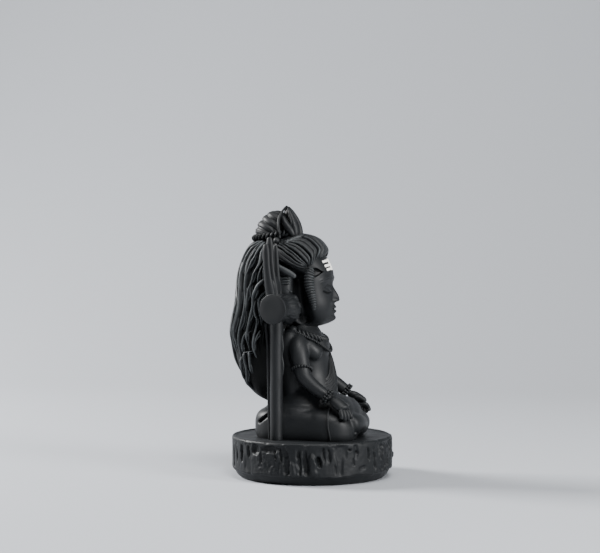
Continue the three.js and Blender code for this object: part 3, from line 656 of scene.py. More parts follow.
PAINTED = black_resin("black_resin_with_painted_marks", forehead_marks, edge_highlight_and_wear=False)
cast("head", mesh_of("head", [head_skin()]), PAINTED)


# The loose hair falls from the topknot's cord, stands out behind the shoulders and closes in over
# the seat. Thin wavy locks stand off it, run together and part again, with deep hollows between.
hair_back = through([12.4, 17], [15.5, 23.2], [19.3, 26.6], [25, 29.2], [31, 31], [40.5, 32.3], [47, 31.7],
                    [54, 30.2], [60, 29.4], [66, 28.3], [74, 25.4], [82, 21])
hair_front = through([12.4, 15], [20, 10], [30, 8.5], [40, 8], [47, 6], [60, 5.2], [70, 5.4], [82, 12])
hair_half = through([12.4, 4], [15.5, 9.4], [20, 12.6], [27, 14.8], [36, 16], [46, 16.4], [56, 16],
                    [66, 15.2], [74, 12.6], [82, 7])


def on_hair(turn, z, lift):
    """A place on the hair's mass: turn is in radians from straight back, positive to the figure's
    left, z is the height, and lift stands off it. The section is an oval behind and a blunt box
    in front of its middle."""
    back, front = hair_back(z), hair_front(z)
    deep = (back - front) / 2
    c = np.cos(turn)
    power = np.where(c < 0, 5.0, 2.0)
    x = (hair_half(z) + lift) * np.sign(np.sin(turn)) * (1 - np.abs(c) ** power) ** (1 / power)
    y = front + deep + (deep + lift) * c
    return np.stack([x, y, z + 0 * x], -1)


def hair_mass_skin():
    """The mass under the locks, grooved by broad soft valleys that wander as they fall, smooth
    near its foot."""
    rows, columns = 170, 320
    along = np.linspace(0, 1, rows)[:, None]
    z = mix(12.4, 82, along)
    ring = np.sqrt(np.clip(1 - np.abs(2 * along - 1) ** 9, 0, 1))
    turn = -around(columns)
    wander = turn + 0.09 * np.sin(z / 4.5 + 3 * turn) + 0.05 * np.sin(z / 2.1 + 7 * turn)
    valley = np.abs(np.sin(11 * wander)) ** 0.7 + 0.35 * np.abs(np.sin(23 * wander + z / 9))
    upper = smooth(30, 46, z + 5 * np.sin(3 * turn)) * smooth(80, 74, z)
    p = on_hair(turn, z + 0 * turn, -0.7 - (1.0 + (1.35 - valley) * 0.9) * upper)
    middle = np.stack([0 * z + 0 * turn, (hair_back(z) + hair_front(z)) / 2 + 0 * turn, z + 0 * turn], -1)
    return shell(middle + (p - middle) * ring[..., None])


def lock_skin(stations, radii, lift):
    """A lock along [turn in degrees, height] stations on the hair's mass: a blade on edge, which
    rises out of the mass at its top and sinks back into it at its tip."""
    s = np.linspace(0, 1, 3 * len(stations))
    path = curve([[t, z, 0] for t, z in stations], s)
    turn = np.radians(path[:, 0])
    points = on_hair(turn, path[:, 1], mix(-2.0, lift - 0.9, smooth(0, 0.1, s) * smooth(1, 0.8, s)))
    facing = unit(on_hair(turn, path[:, 1], 2.0) - on_hair(turn, path[:, 1], 0.0))
    return limb(points, 0.68 * np.array(radii), sides=10, rings=70, flat=3.0, facing=facing, cap=2.5)


# The locks that show on the right side, as [turn, height] stations from the top down, radii along
# them, and how far they stand off the mass.
RIGHT_LOCKS = [
    ([(50, 77.7), (30, 75.5), (20, 73), (14, 70), (12, 67), (13, 63), (18, 59), (30, 56), (37, 53.5),
      (40, 50), (36, 45.5), (33, 41.5), (35, 37), (34, 33), (33, 30)],
     [0.7, 0.9, 1.0, 0.75, 0.6, 0.55, 0.45], 0.45),
    ([(67, 77.7), (52, 75.7), (43, 73.8), (37, 71), (36, 68), (35, 65), (37, 62), (42, 58), (44, 55),
      (46, 52), (46, 49), (44, 46.4), (41, 43.6), (41, 40), (43, 37.6), (40, 34.4), (39, 31)],
     [0.6, 0.8, 0.9, 0.9, 0.75, 0.6, 0.45], 0.45),
    ([(73, 76.9), (61, 74.2), (54, 71.8), (50, 69.8), (50, 67), (53, 64), (54, 61), (56, 57.6),
      (59, 54.5), (61, 51), (61, 48.6), (59, 45.8), (57, 42.6), (55.6, 39.8), (54.7, 36.6), (54, 33.8),
      (52, 30), (48, 27)],
     [0.55, 0.6, 0.75, 0.7, 0.75, 0.6, 0.6, 0.45], 0.5),
    ([(79, 77), (70, 74.2), (64, 71.4), (59, 69.5), (56.5, 67.5), (53, 64.5), (52, 61)],
     [0.55, 0.6, 0.55, 0.4], 0.6),
    ([(66, 76.5), (58, 74.6), (50, 72.4), (46, 70), (45, 67), (46, 64)],
     [0.4, 0.5, 0.5, 0.35], 0.5),
    ([(82, 75.8), (79.5, 73.4), (79, 71), (78, 68.7), (74.5, 66.7), (71, 65), (69.5, 62.8),
      (67.6, 60.8), (64.3, 59), (63, 57), (62.7, 54.5), (63.8, 52), (63, 49.8), (61.6, 46.6), (60, 43)],
     [0.6, 0.75, 0.7, 0.65, 0.65, 0.6, 0.4], 0.55),
    ([(86, 74.2), (88, 71), (87, 68.7), (84, 67), (82, 65), (80.6, 62.4), (79, 59)],
     [0.6, 0.6, 0.6, 0.35], 0.6),
    ([(90, 77), (92, 72), (91, 69.5), (89.5, 67.2), (90, 64.4), (92, 60)],
     [0.7, 0.8, 0.7, 0.4], 0.6),
    ([(96, 63), (90.8, 62), (84.3, 60.5), (80.7, 58.5), (77.8, 56.5), (76.9, 54.6), (77.7, 52),
      (76.9, 49.9), (76, 47.5), (75.6, 44.7), (74.9, 42.4), (73.8, 40), (74, 37.6), (75, 34)],
     [0.8, 1.2, 1.25, 0.95, 0.8, 0.75, 0.6, 0.4], 0.7),
    ([(79.7, 56), (80, 51.4), (84, 48.7), (88.3, 47), (90, 45), (90, 42.5), (88, 39.7), (86.5, 36.5),
      (87.3, 34), (91, 31)],
     [0.5, 0.6, 0.6, 0.65, 0.7, 0.6, 0.35], 0.7),
    ([(104, 60), (97.7, 57.8), (91.3, 56.2), (87.7, 54.6), (87.8, 53), (90.3, 50.7), (93.6, 48.3),
      (96.7, 45)],
     [0.8, 0.95, 0.8, 0.5], 0.8),
    ([(106, 58.4), (101.4, 57), (94.9, 55.8), (91.3, 53.6)],
     [0.6, 0.7, 0.5], 0.8),
    ([(98, 42.2), (96, 41.3), (93.2, 40), (90.6, 38), (89, 35.6)],
     [0.4, 0.6, 0.4], 0.6),
    ([(66, 61), (68, 58), (71.6, 54.5)],
     [0.4, 0.5, 0.3], 0.5),
    ([(76, 43), (70, 40.7), (66, 38.7), (62.7, 36), (62, 33)],
     [0.4, 0.6, 0.55, 0.35], 0.5),
    ([(64, 34), (64, 31), (65, 28), (63, 26), (58.5, 23.5), (54.5, 21.2), (54, 19)],
     [0.6, 0.7, 0.6, 0.6, 0.45], 0.5),
    ([(76, 34), (75.4, 31), (74.4, 28.5), (73, 25)],
     [0.5, 0.6, 0.35], 0.5),
    ([(60, 33.6), (72, 33.9), (88, 34.6)],
     [0.3, 0.5, 0.3], -0.1),
    ([(54, 32), (53, 29), (50, 26.6), (48, 24), (50, 22), (44, 19)],
     [0.6, 0.7, 0.6, 0.4], 0.5),
]


def lock_field(side):
    """Further locks on the left side and over the back: each starts at the cord, falls along its
    own wavy line, and ends at its own height."""
    made = []
    starts = np.radians(np.linspace(-22, 22, 9)) if side == 0 else np.radians(np.linspace(26, 102, 19))
    for k, start in enumerate(starts):
        a, b, c = (scatter(k + 31 * side, n) for n in (1, 2, 3))
        foot = mix(20, 34, a) if k % 3 else mix(36, 50, a)
        head = 77.7 if k % 4 else mix(60, 68, b)
        z = np.linspace(head, foot, 15)
        sway = 0.075 * np.sin(z / 3.1 + 6.3 * b) + 0.05 * np.sin(z / 6.3 + 6.3 * c)
        turn = (side or 1) * start + sway
        width = mix(0.55, 0.95, scatter(k, 5 + side))
        radii = width * np.array([0.9, 1.1, 1.0, 1.15, 0.9, 1.0, 0.85, 0.5])
        made.append(lock_skin(list(zip(np.degrees(turn), z)), radii, 0.25 + 0.25 * b))
    return made


# The mass under the locks is painted the deepest black, as painted shade for the hollows between the
# locks, with hardly any sheen.
DULL_PAINTED_SHADE = black_resin("dull_resin_painted_as_shade", main=RESIN_PAINTED_SHADE, sheen=0.1)
cast("hair_mass", mesh_of("hair_mass", [hair_mass_skin()]), DULL_PAINTED_SHADE)
hair = []
for k, (stations, radii, lift) in enumerate(RIGHT_LOCKS):
    hair.append(lock_skin([(-t, z) for t, z in stations], radii, lift))
    beside = [(-t - 2.6 * np.sin(1.7 * n + k) - 1.2, z - 0.6) for n, (t, z) in enumerate(stations)]
    hair.append(lock_skin(beside, 0.6 * np.array(radii), lift - 0.35))
hair += lock_field(0) + lock_field(LEFT)
cast("loose_hair", mesh_of("loose_hair", hair), HIGHLIT_EDGES_AND_WEAR)


# The combed hair is drawn back from the forehead to the topknot in locks with open partings
# between them, and rolls under at the hairline. Below it hangs a swag, and a ribbed lock by the ear.
CAP_CENTRE = np.array([0, 5.6, 66.0])
CAP_RADII = np.array([15, 13.6, 15.0])
CAP_BLUNT = 2.5
CROWN, ACROSS = np.array([0, 0.6, 0.8]), np.array([1.0, 0, 0])
BEHIND = np.cross(CROWN, ACROSS)

# The partings as [back, up] stations, from the upper one down, how many locks lie between each two,
# how deep each groove between two locks opens, and the hairline.
PARTINGS = [
    [(8.0, 78.6), (4.6, 80.4), (2.5, 81.3), (0, 80.9), (-2.8, 79.6), (-5.4, 77.4), (-6.8, 75),
     (-7, 71)],
    [(8.0, 77.6), (3.5, 79.6), (1.9, 79.3), (0, 78.6), (-2.1, 77), (-4, 74.7), (-4.2, 71.7),
     (-3.6, 69.3), (-3.2, 67)],
    [(9.0, 77.6), (7, 77.6), (4.5, 77.2), (2.1, 75.9), (0.1, 74.2), (-1.5, 72.4), (-2.1, 70.5),
     (-2, 67)],
    [(11, 77.4), (9, 76.6), (7.3, 75.4), (5, 74), (2.9, 72.3), (1.2, 70.6), (-0.7, 68.8), (-1.3, 67)],
    [(14, 77), (11.7, 75.7), (9.5, 74.5), (7.7, 73), (5.9, 71.8), (4, 70.1), (2, 69), (0, 68)],
    [(15, 75), (12.3, 73.9), (9.8, 72.2), (7, 70.3), (4.5, 68.9), (2, 67.9), (-0.4, 67.6)],
    [(17, 72), (11, 69.6), (8, 68.2), (5.4, 66.9), (2.7, 66.2), (0, 66)],
]
LOCKS_BETWEEN = (3, 2, 2, 2, 1, 2)
OPEN = np.array([0.3, 0.1, 0.25, 0.9, 0.15, 0.9, 0.2, 1.1, 0.2, 0.6, 0.15, 0.1, 0.1])
HAIRLINE = [(17, 72.4), (13.2, 71.5), (11, 69.9), (8, 68.7), (5.4, 67.4), (2.7, 66.8), (0.6, 67),
            (-0.7, 68), (-2, 68.2), (-3.2, 69), (-4, 70.6), (-4.7, 72.2), (-6.0, 72.2), (-7.0, 72.4)]


def on_cap(y, z):
    """A place of the cap's blunt ellipsoid, seen from the right side."""
    rest = 1 - np.abs((y - CAP_CENTRE[1]) / CAP_RADII[1]) ** CAP_BLUNT
    rest = rest - np.abs((z - CAP_CENTRE[2]) / CAP_RADII[2]) ** CAP_BLUNT
    return np.stack([-CAP_RADII[0] * np.clip(rest, 0, 1) ** (1 / CAP_BLUNT), y, z], -1)


def past(line, y, z):
    """Distance below a parting, less than 0 above it."""
    path = curve(np.array(line, float), np.linspace(0, 1, 60))
    gap = (y.ravel()[:, None] - path[:, 0]) ** 2 + (z.ravel()[:, None] - path[:, 1]) ** 2
    near = np.clip(gap.argmin(1), 1, 58)
    ahead = path[near + 1] - path[near - 1]
    dy, dz = y.ravel() - path[near, 0], z.ravel() - path[near, 1]
    return np.reshape((dy * ahead[:, 1] - dz * ahead[:, 0]) / -np.hypot(*ahead.T), y.shape)


def cap_skin():
    """A piece of an ellipsoid from the crown out to the hairline. Each place's share of the way
    between the two partings nearest it counts the locks, and the groove between two locks runs
    where that count is whole; then the edge rolls under and closes inside the head."""
    rows, columns = 150, 460
    along = np.linspace(0, 1, rows)[:, None]
    down = np.clip((1 - along) / 0.85, 0, 1)
    inside = np.clip(1 - along / 0.15, 0, 1)
    turn = around(columns) + 0 * along
    edge = on_cap(*np.array(HAIRLINE, float).T) - CAP_CENTRE
    polar_edge = np.arccos(unit(edge) @ CROWN)
    bearing = np.arctan2(np.abs(edge @ ACROSS), -(edge @ BEHIND))
    order = np.argsort(bearing)
    to_edge = np.interp(np.arctan2(np.abs(np.cos(turn)), -np.sin(turn)), bearing[order], polar_edge[order])
    polar = to_edge * down + 0.4 * inside
    way = (ACROSS * (np.sin(polar) * np.cos(turn))[..., None]
           + BEHIND * (np.sin(polar) * np.sin(turn))[..., None]
           + CROWN * np.cos(polar)[..., None])
    reach = (np.abs(way / CAP_RADII) ** CAP_BLUNT).sum(-1) ** (-1 / CAP_BLUNT)
    place = CAP_CENTRE + way * reach[..., None]
    y, z = place[..., 1], place[..., 2]
    below = [past(line, y, z) for line in PARTINGS]
    count = 0 * y
    for k, locks in enumerate(LOCKS_BETWEEN):
        share = np.clip(below[k] / np.maximum(below[k] - below[k + 1], 1e-3), 0, 1)
        share = np.where(below[k] <= 0, 0, np.where(below[k + 1] >= 0, 1, share))
        count = count + locks * (np.sqrt(share) if k == 0 else share)
    whole = np.round(count).astype(int)
    slot = OPEN[np.clip(whole, 0, 12)] * smooth(0.2, 0.5, hills((z - y) / 6 + 3.7 * whole, whole))
    off = np.abs(count - whole)
    crown_line = 0.35 * (1 - np.abs(np.sin(2.5 * np.pi * count)) ** 0.7)
    groove = (0.13 + 2.5 * slot) * smooth(0.24 + 0.12 * slot, 0.02, off) + crown_line * 0.18
    step = 0.35 * (scatter(np.floor(count), 3.0) - 0.5) * smooth(0, 0.1, off)
    rolled = 1.7 * (1 - np.sqrt(1 - smooth(0.86, 1.0, down) ** 2))
    length = reach - 0.1 - groove * smooth(0.06, 0.3, polar) + step - rolled
    length = mix(length, 0.3 * reach, inside)
    return shell(CAP_CENTRE + way * length[..., None])


def combed_skin(stations, radii, side, lift):
    """A lock through [back, up] stations seen from the side, laid on the cap's ellipsoid."""
    path = curve([[y, z, 0] for y, z in stations], np.linspace(0, 1, 4 * len(stations)))
    points = on_cap(path[:, 0], path[:, 1]) * [-side, 1, 1]
    outward = unit((points - CAP_CENTRE) / CAP_RADII**2)
    return limb(points + outward * lift, radii, sides=12, rings=50, flat=0.75, facing=outward, cap=1.5)


# The swag and the fine locks under it, as [back, up] stations, radii, and how far they stand off.
COMBED_LOCKS = [
    ([(13.6, 69), (10.1, 67.0), (7.4, 65.6), (5.4, 64.5), (3.9, 63.6)], [1.0, 1.2, 1.3, 1.15, 0.8], 0.1),
    ([(12.6, 66), (9.8, 65.2), (7.4, 64.4), (6.0, 63.9)], [0.5, 0.8, 0.7, 0.4], -0.8),
    ([(12.6, 62.4), (10.2, 62.8), (8, 63.1), (6.0, 62.7)], [0.3, 0.4, 0.42, 0.3], -0.1),
    ([(12.6, 61.4), (10.2, 61.7), (8.1, 62), (6.0, 61.7)], [0.3, 0.4, 0.42, 0.3], -0.1),
    ([(12.6, 60.6), (10.3, 60.8), (8.4, 61), (6.2, 60.9)], [0.3, 0.4, 0.42, 0.3], -0.1),
    ([(12.6, 57.0), (10.4, 57.6), (8.6, 58.4), (6.8, 58.6)], [0.3, 0.5, 0.5, 0.3], -0.2),
    ([(12.0, 56.0), (9.8, 56.6), (8.0, 57.5), (5.6, 57.7)], [0.3, 0.5, 0.5, 0.3], -0.3),
]


def ribs(turn, s):
    """Scales a lock's radius so that it is ribbed across, as if wound with thread."""
    return 1 + 0.24 * (np.abs(np.cos(np.pi * 17 * s + 0.5 * np.sin(turn))) - 0.6)


combed = [cap_skin()]
for side in (RIGHT, LEFT):
    combed.append(ball([side * 9.8, 10.0, 59.8], [4.6, 4.4, 6.6], bluntness=2.6))
    for stations, radii, lift in COMBED_LOCKS:
        combed.append(combed_skin(stations, radii, side, lift))
    ribbed = on_side(side, [[12.0, -1.8, 67.4], [12.9, -1.1, 65.0], [13.2, -0.9, 62.0], [13.1, -1.3, 59.0],
                            [12.6, -1.9, 56.2], [12.0, -2.4, 53.6], [11.3, -2.8, 50.6]])
    combed.append(limb(ribbed, [1.1, 1.8, 1.9, 1.8, 1.6, 1.3, 0.7], sides=24, rings=200, flat=0.7,
                       facing=(side, 0, 0), ripple=ribs))
cast("combed_hair", mesh_of("combed_hair", combed), HIGHLIT_EDGES_AND_WEAR)


# The topknot: hair wound round in a bun above a twisted cord, with a tall folded loop of hair
# standing in front of it, hollow at its top.
def bun_skin():
    """An ellipsoid leaning forward, wound with overlapping turns: the height that each turn
    covers swells and then steps in."""
    rise = np.linspace(-np.pi / 2, np.pi / 2, 110)[:, None]
    turn = around(130)
    ring = np.clip(np.cos(rise), 0, 1) ** 0.8
    level = 9.4 * np.sin(rise) - 2.0 * np.sin(turn) * ring + 0.7 * np.sin(2 * turn + rise * 2)
    wound = np.abs(np.sin(np.pi * level / 3.1 + 0.4)) ** 0.35
    fine = np.abs(np.sin(np.pi * level / 0.95))
    scale = 1 - 0.18 * (1 - wound) * ring - 0.03 * (1 - fine) * ring
    forward = 2.2 * smooth(0, 1, np.sin(rise))
    x = 7.0 * ring * scale * np.cos(turn)
    y = 15.4 + np.where(np.sin(turn) < 0, 4.6, 7.7) * ring * scale * np.sin(turn) - forward
    z = 80.6 + 9.3 * np.sin(rise) * mix(scale, 1, 0.5) + 0.9 * ring * np.sin(turn - 0.6)
    return shell(np.stack([x, y, z], -1))


def twisted(path, radius, strands, turns, rings, grip, sides=12):
    """Strands wound round a closed path(share): each stays at grip times the radius from the
    path's middle, and turns round it that many times."""
    made = []
    s = np.linspace(0, 1, rings + 1)[:-1]
    middle = path(s)
    ahead = unit(path(s + 0.001) - path(s - 0.001))
    out = unit(middle - middle.mean(0) - ahead * ((middle - middle.mean(0)) * ahead).sum(-1, keepdims=True))
    up = np.cross(ahead, out)
    section = around(sides)
    for k in range(strands):
        turn = 2 * np.pi * (turns * s + k / strands)
        centre = middle + radius * grip * (out * np.cos(turn)[:, None] + up * np.sin(turn)[:, None])
        ring = (1 - grip) * radius * 1.12
        grid = centre[:, None] + ring * (out[:, None] * np.cos(section)[:, None]
                                         + up[:, None] * np.sin(section)[:, None])
        i, j = np.arange(rings)[:, None], np.arange(sides)
        a, b = i * sides + j, i * sides + (j + 1) % sides
        c, d = (i + 1) % rings * sides + (j + 1) % sides, (i + 1) % rings * sides + j
        made.append((grid.reshape(-1, 3), np.stack([a, b, c, d], -1).ravel(), np.full(rings * sides, 4)))
    return made


def ring_path(centre, across, deep, tilt):
    """A level oval round a centre, tipped about the left-right axis."""
    def path(s):
        a = 2 * np.pi * s
        x, y = across * np.cos(a), deep * np.sin(a)
        return np.stack([x, y * np.cos(tilt), y * np.sin(tilt)], -1) + centre

    return path


# The loop's strands on each side: rear strap, thick front fold, and a slanting strand and a slim
# one between them, as points of the left side, radii and how many sides they have.
LOOP_STRANDS = [
    ([[0, 10.2, 91.7], [3.4, 11.4, 89.6], [5.8, 12.3, 87.0], [7.0, 12.4, 84.4], [7.5, 12.0, 81.6],
      [7.8, 11.7, 78.6]], [0.45, 0.5, 0.5, 0.5, 0.5, 0.6], 12),
    ([[0, 10.0, 91.3], [2.4, 8.6, 89.0], [4.0, 7.1, 86.0], [4.9, 6.3, 83.4], [5.0, 6.0, 80.8],
      [4.6, 6.6, 78.6], [3.4, 8.2, 77.6]], [0.7, 1.1, 1.3, 1.4, 1.5, 1.4, 1.0], 16),
    ([[4.6, 11.0, 87.6], [5.4, 9.9, 85.0], [5.8, 8.2, 82.6], [5.6, 6.9, 80.4], [5.0, 6.6, 79.0]],
     [0.8, 1.3, 1.5, 1.3, 0.9], 16),
    ([[2.4, 9.4, 89.6], [4.2, 8.2, 87.4], [5.2, 7.5, 85.0], [5.6, 6.8, 82.6]], [0.4, 0.6, 0.6, 0.4], 10),
]


def loop_core():
    """The loop's core: an oval that swells and then narrows as it rises, hollowed at the top."""
    along = np.linspace(0, 1, 60)[:, None]
    turn = around(60)
    swell = np.sin(np.pi * np.clip(along, 0, 1) ** 0.72) ** 0.8
    hollow = 1 - 0.6 * smooth(0.5, 0.75, along)
    x = 5.4 * swell * hollow * np.cos(turn)
    y = mix(8.6, 9.8, along) + 3.2 * swell * np.sin(turn)
    return shell(np.stack([x, y, mix(75, 91.4, along) + 0 * x], -1))


topknot = [bun_skin(), loop_core()]
topknot += twisted(ring_path([0, 15.1, 80.0], 7.6, 8.0, -0.14), 1.4, 2, -16, rings=400, grip=0.58)
for side in (RIGHT, LEFT):
    for line, radii, sides in LOOP_STRANDS:
        topknot.append(limb(on_side(side, line), radii, sides=sides, facing=(side, 0, 0)))
    topknot.append(ball([side * 10.6, 12.4, 77.9], [1.3, 1.3, 1.3], 20, 14))
cast("topknot", mesh_of("topknot", topknot))


# Cords and beads are carved on the body: a thick twisted cord round the neck with a knot, a bead
# string under it, beaded bands on the upper arms and two rows of beads on each wrist.
BEAD = 0.58


def bead_row(centres, radius=BEAD):
    """A small sphere at each of the centres, made as one mesh by copying one sphere's grid."""
    unit_ball, loops, sizes = ball([0, 0, 0], [radius] * 3, 10, 8)
    count, n = len(centres), len(unit_ball)
    corners = (np.asarray(centres)[:, None] + unit_ball).reshape(-1, 3)
    return corners, (loops + n * np.arange(count)[:, None]).ravel(), np.tile(sizes, count)


def band_beads(centre, axis, radius, shift=0.0):
    """Beads side by side on a circle round an axis."""
    axis = unit(np.array(axis, float))
    first = unit(np.cross(axis, [0.3, 0.2, 1.0]))
    second = np.cross(axis, first)
    count = int(2 * np.pi * radius / (1.9 * BEAD))
    a = 2 * np.pi * np.arange(count) / count
    ring = radius * (first * np.cos(a)[:, None] + second * np.sin(a)[:, None])
    return bead_row(np.array(centre) + axis * shift + ring)


def collar(s):
    """An oval round the neck that dips at the front and lies up over the shoulders."""
    a = 2 * np.pi * s
    x, y = 9.0 * np.cos(a), 2.4 + 7.6 * np.sin(a)
    return np.stack([x, y, 40.3 + 2.3 * np.sin(a) + 0.8 * np.cos(a) ** 2], -1)


cords = twisted(collar, 1.6, 3, 11, rings=360, grip=0.44)
string = [[-9.4, 6.4, 42.0], [-10.6, 3.4, 41.2], [-10.8, 0.2, 39.9], [-9.9, -3.6, 37.9],
          [-8.0, -6.2, 35.9], [-4.6, -7.4, 34.4], [0, -7.6, 33.8], [4.6, -7.1, 34.4],
          [8.0, -5.8, 35.9], [9.9, -3.6, 37.9], [10.8, 0.2, 39.9], [10.6, 3.4, 41.2], [9.4, 6.4, 42.0]]
cords.append(bead_row(curve(string, np.linspace(0, 1, 54)), 0.62))
cords.append(limb(string, [0.4] * 5, sides=10, rings=90))
for side in (RIGHT, LEFT):
    cords.append(ball([side * 9.0, 6.4, 42.8], [1.7, 1.9, 1.5]))
    line = np.array(ARM[side]["line"])
    cords.append(band_beads(line[2] + [side * 0.45, -0.5, -1.7], [side * -0.5, 0.1, 1], 3.85))
    wrist = mix(line[5], line[6], 0.7)
    for shift in (-0.5, 0.5):
        cords.append(band_beads(wrist, line[6] - line[4], 2.75, shift))
cast("cords_and_beads", mesh_of("cords_and_beads", cords))


# The trident stands on the plinth beside the right arm, joined to the hair by a web of resin that
# the mould left, with a thin strap behind the shaft and flash along it. A drum is tied on.
TRIDENT_FOOT = np.array([-17.0, 11.3, 0.0])
TURNED = np.radians(-20)
SHAFT_HEIGHT = 57.0
HEAD_HEIGHT, HEAD_HALF = 22.3, 5.0


def on_trident(out, up):
    """A place on the trident's head: out across its plane and up it, as shares."""
    return [TRIDENT_FOOT[0] + out * HEAD_HALF * np.cos(TURNED),
            TRIDENT_FOOT[1] + 0.5 + out * HEAD_HALF * np.sin(TURNED) + 0.05 * up * HEAD_HEIGHT,
            SHAFT_HEIGHT + up * HEAD_HEIGHT]


def lathe(profile, place, columns):
    """A turned form: [radius, along] stations round an axis, put in its place by place(points)."""
    r, h = (a[:, None] for a in np.array(profile, float).T)
    a = around(columns)
    return shell(place(np.stack([r * np.cos(a), r * np.sin(a), h + 0 * a], -1)))


def drum_place(points):
    """Lays a turned form's axis level, across the figure with its right end a little to the back,
    and roughens its side, apart from the right end."""
    across, along, axis = points[..., 0], points[..., 1], points[..., 2]
    rough = 0.7 * (hills(across * 1.1 + 40, axis * 1.1 + along * 0.6 + 40) - 0.5)
    rough = rough + 0.7 * (hills(along * 2.1 + 40, axis * 2 + across + 40) - 0.5)
    grow = 1 + np.where(np.hypot(across, along) > 4.4, rough / 6 * smooth(-3.2, 0, axis), 0)
    across, along = across * grow, along * grow
    x = axis * np.cos(TURNED) - across * np.sin(TURNED)
    y = axis * np.sin(TURNED) + across * np.cos(TURNED)
    return np.stack([x - 17.6, y + 10.0, along + 51.2], -1)


# The trident's head is a plate with three tines. Each tine has its place across the plate at the
# foot and at the tip, the tip's height, its thickness, and how far its tip swings to the right.
TINES = [(-0.72, -1.05, 0.88, 1.1, 0), (-0.15, -0.42, 1.0, 1.08, 0.3), (0.5, 0.52, 0.86, 0.9, 1.6)]
TINE_LINE = [(0, -0.06), (0, 0.05), (0.3, 0.17), (0.72, 0.34), (0.98, 0.56), (1, 0.85), (0.93, 1)]
TINE_RADII = np.array([1.3, 1.35, 1.3, 1.1, 1.0, 1.0, 0.7])
THROUGH_PLATE = (np.sin(TURNED), -np.cos(TURNED), 0)
trident = [limb([on_trident(0.0, h) for h in (-0.12, 0.03, 0.18, 0.33)], [2.8, 3.6, 3.9, 2.8], sides=40,
                rings=60, facing=THROUGH_PLATE, flat=0.46)]
for foot, reach, tip, wide, swing in TINES:
    line = [np.array(on_trident(mix(foot, reach, out), up * tip)) - [swing * out, 0, 0]
            for out, up in TINE_LINE]
    trident.append(limb(line, TINE_RADII * wide, sides=24, rings=80, facing=THROUGH_PLATE, flat=1.35))
trident.append(ball(on_trident(0.0, 0.02), [2.2, 1.8, 2.2]))
shaft = [(0, -0.8), (2.2, -0.8), *[(mix(2.5, 2.6, h), h * SHAFT_HEIGHT) for h in np.linspace(0, 1, 40)],
         (0, SHAFT_HEIGHT)]


def shaft_place(points):
    """Stands the shaft on its foot and lets its side wander a little."""
    wobble = 0.12 * (hills(points[..., 2] / 5 + 9, 0 * points[..., 2] + 3) - 0.5)
    return points + TRIDENT_FOOT + np.stack([wobble, wobble, 0 * wobble], -1)


trident.append(lathe(shaft, shaft_place, 48))
near, far = -5.3, 7.2
drum = [(0, near), (3.5, near), (5.7, near), (5.86, near + 0.04), (5.92, near + 0.2), (5.85, near + 0.95),
        (5.55, near + 1.3), (5.4, near + 2.2), (5.1, -2.0), (4.9, -0.8), (5.0, 0.6), (5.5, 2.2),
        (5.9, far - 3.4), (6.0, far - 2.4), (5.95, far - 1.4), (6.1, far - 0.9), (5.9, far - 0.3),
        (5.2, far), (3.0, far), (0, far)]
trident.append(lathe(drum, drum_place, 120))
strap = [[-16.4, 15.6, 46], [-16.4, 15.0, 38], [-16.4, 14.7, 30], [-16.4, 14.5, 20], [-16.4, 14.3, 9],
         [-16.4, 14.0, -0.5]]
trident.append(limb(strap, [0.75, 0.6, 0.62, 0.6, 0.6, 0.7], sides=14, rings=80, facing=(1, 0, 0)))
flash = [[-17.6, 9.0, 41], [-17.5, 8.7, 36], [-17.5, 9.0, 33], [-17.5, 8.6, 29], [-17.5, 8.8, 25]]
trident.append(limb(flash, [0.35, 0.6, 0.4, 0.6, 0.3], sides=10, rings=50, facing=(1, 0, 0)))


def web_skin():
    """A blunt slab from the shaft in to the hair and the seat."""
    along = np.linspace(0, 1, 40)[:, None]
    turn = around(48)
    grow = np.minimum(1, 14 * np.minimum(along, 1 - along)) ** 0.5
    front, back = mix(9.9, 9.2, along), mix(14.3, 16.6, along)
    x = -9.2 + grow * 6.6 * blunt(np.cos(turn), 8)
    y = (front + back) / 2 + grow * (back - front) / 2 * blunt(np.sin(turn), 8)
    return shell(np.stack([x, y, mix(-0.6, 55, along) + 0 * x], -1))


trident.append(web_skin())
cast("trident_and_drum", mesh_of("trident_and_drum", trident))


# A plain pale floor with a backdrop that rises behind it, and soft studio light: a strong panel
# behind the figure's back, one before its face, weak ones from the camera's side and from above,
# and a faint even fill.
FLOOR = "#9FA2A7"


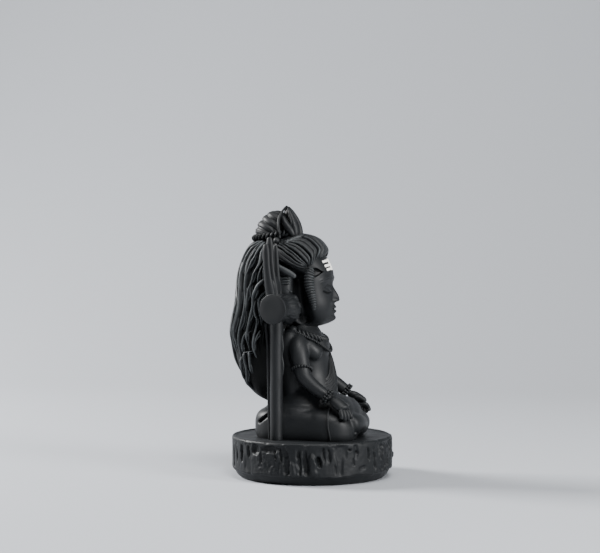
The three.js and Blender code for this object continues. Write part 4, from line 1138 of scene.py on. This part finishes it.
def sweep_mesh():
    """A sheet 3 m across: level, then curving up into the backdrop on the far side."""
    s = np.linspace(-1, 1, 90)[:, None]
    t = np.linspace(-1.5, 1.5, 10)
    x = np.where(s < 0.3, s * 1.2, 0.36 + 0.5 * np.sin((s - 0.3) / 0.7 * np.pi / 2))
    z = np.where(s < 0.3, 0, 0.5 * (1 - np.cos((s - 0.3) / 0.7 * np.pi / 2)) + 0.9 * np.maximum(s - 0.85, 0))
    grid = np.stack([x + 0 * t, t + 0 * x, z + 0 * t], -1)
    mesh = bpy.data.meshes.new("sweep")
    i, j = np.arange(89)[:, None] * 10, np.arange(9)
    faces = np.stack([i + j, i + j + 10, i + j + 11, i + j + 1], -1).reshape(-1, 4)
    mesh.from_pydata(grid.reshape(-1, 3).tolist(), [], faces.tolist())
    mesh.shade_smooth()
    return mesh


floor = bpy.data.objects.new("floor", sweep_mesh())
bpy.context.scene.collection.objects.link(floor)
paper = bpy.data.materials.new("pale_paper")
paper.use_nodes = True
paper.node_tree.nodes["Principled BSDF"].inputs["Base Color"].default_value = linear(FLOOR)
paper.node_tree.nodes["Principled BSDF"].inputs["Roughness"].default_value = 0.9
floor.data.materials.append(paper)


def panel(name, place, aim, size, power):
    """A square soft light at a place, turned to what it lights, in metres and watts."""
    light = bpy.data.lights.new(name, "AREA")
    light.energy, light.size = power, size
    lamp = bpy.data.objects.new(name, light)
    bpy.context.scene.collection.objects.link(lamp)
    lamp.location = place
    lamp.rotation_euler = (Vector(aim) - Vector(place)).to_track_quat("-Z", "Y").to_euler()


panel("back_light", (0.12, 0.78, 0.5), (0, 0, 0.06), 0.3, 24.0)
panel("face_light", (-0.38, -0.79, 0.3), (0, 0, 0.06), 0.3, 12.0)
panel("side_light", (-0.5, -0.25, 0.75), (0, 0, 0.05), 0.3, 8.0)
panel("top_light", (-0.1, 0.0, 0.9), (0, 0, 0.05), 0.4, 3.0)
world = bpy.data.worlds.new("studio")
bpy.context.scene.world = world
world.use_nodes = True
world.node_tree.nodes["Background"].inputs["Color"].default_value = (1, 1, 1, 1)
world.node_tree.nodes["Background"].inputs["Strength"].default_value = 0.02
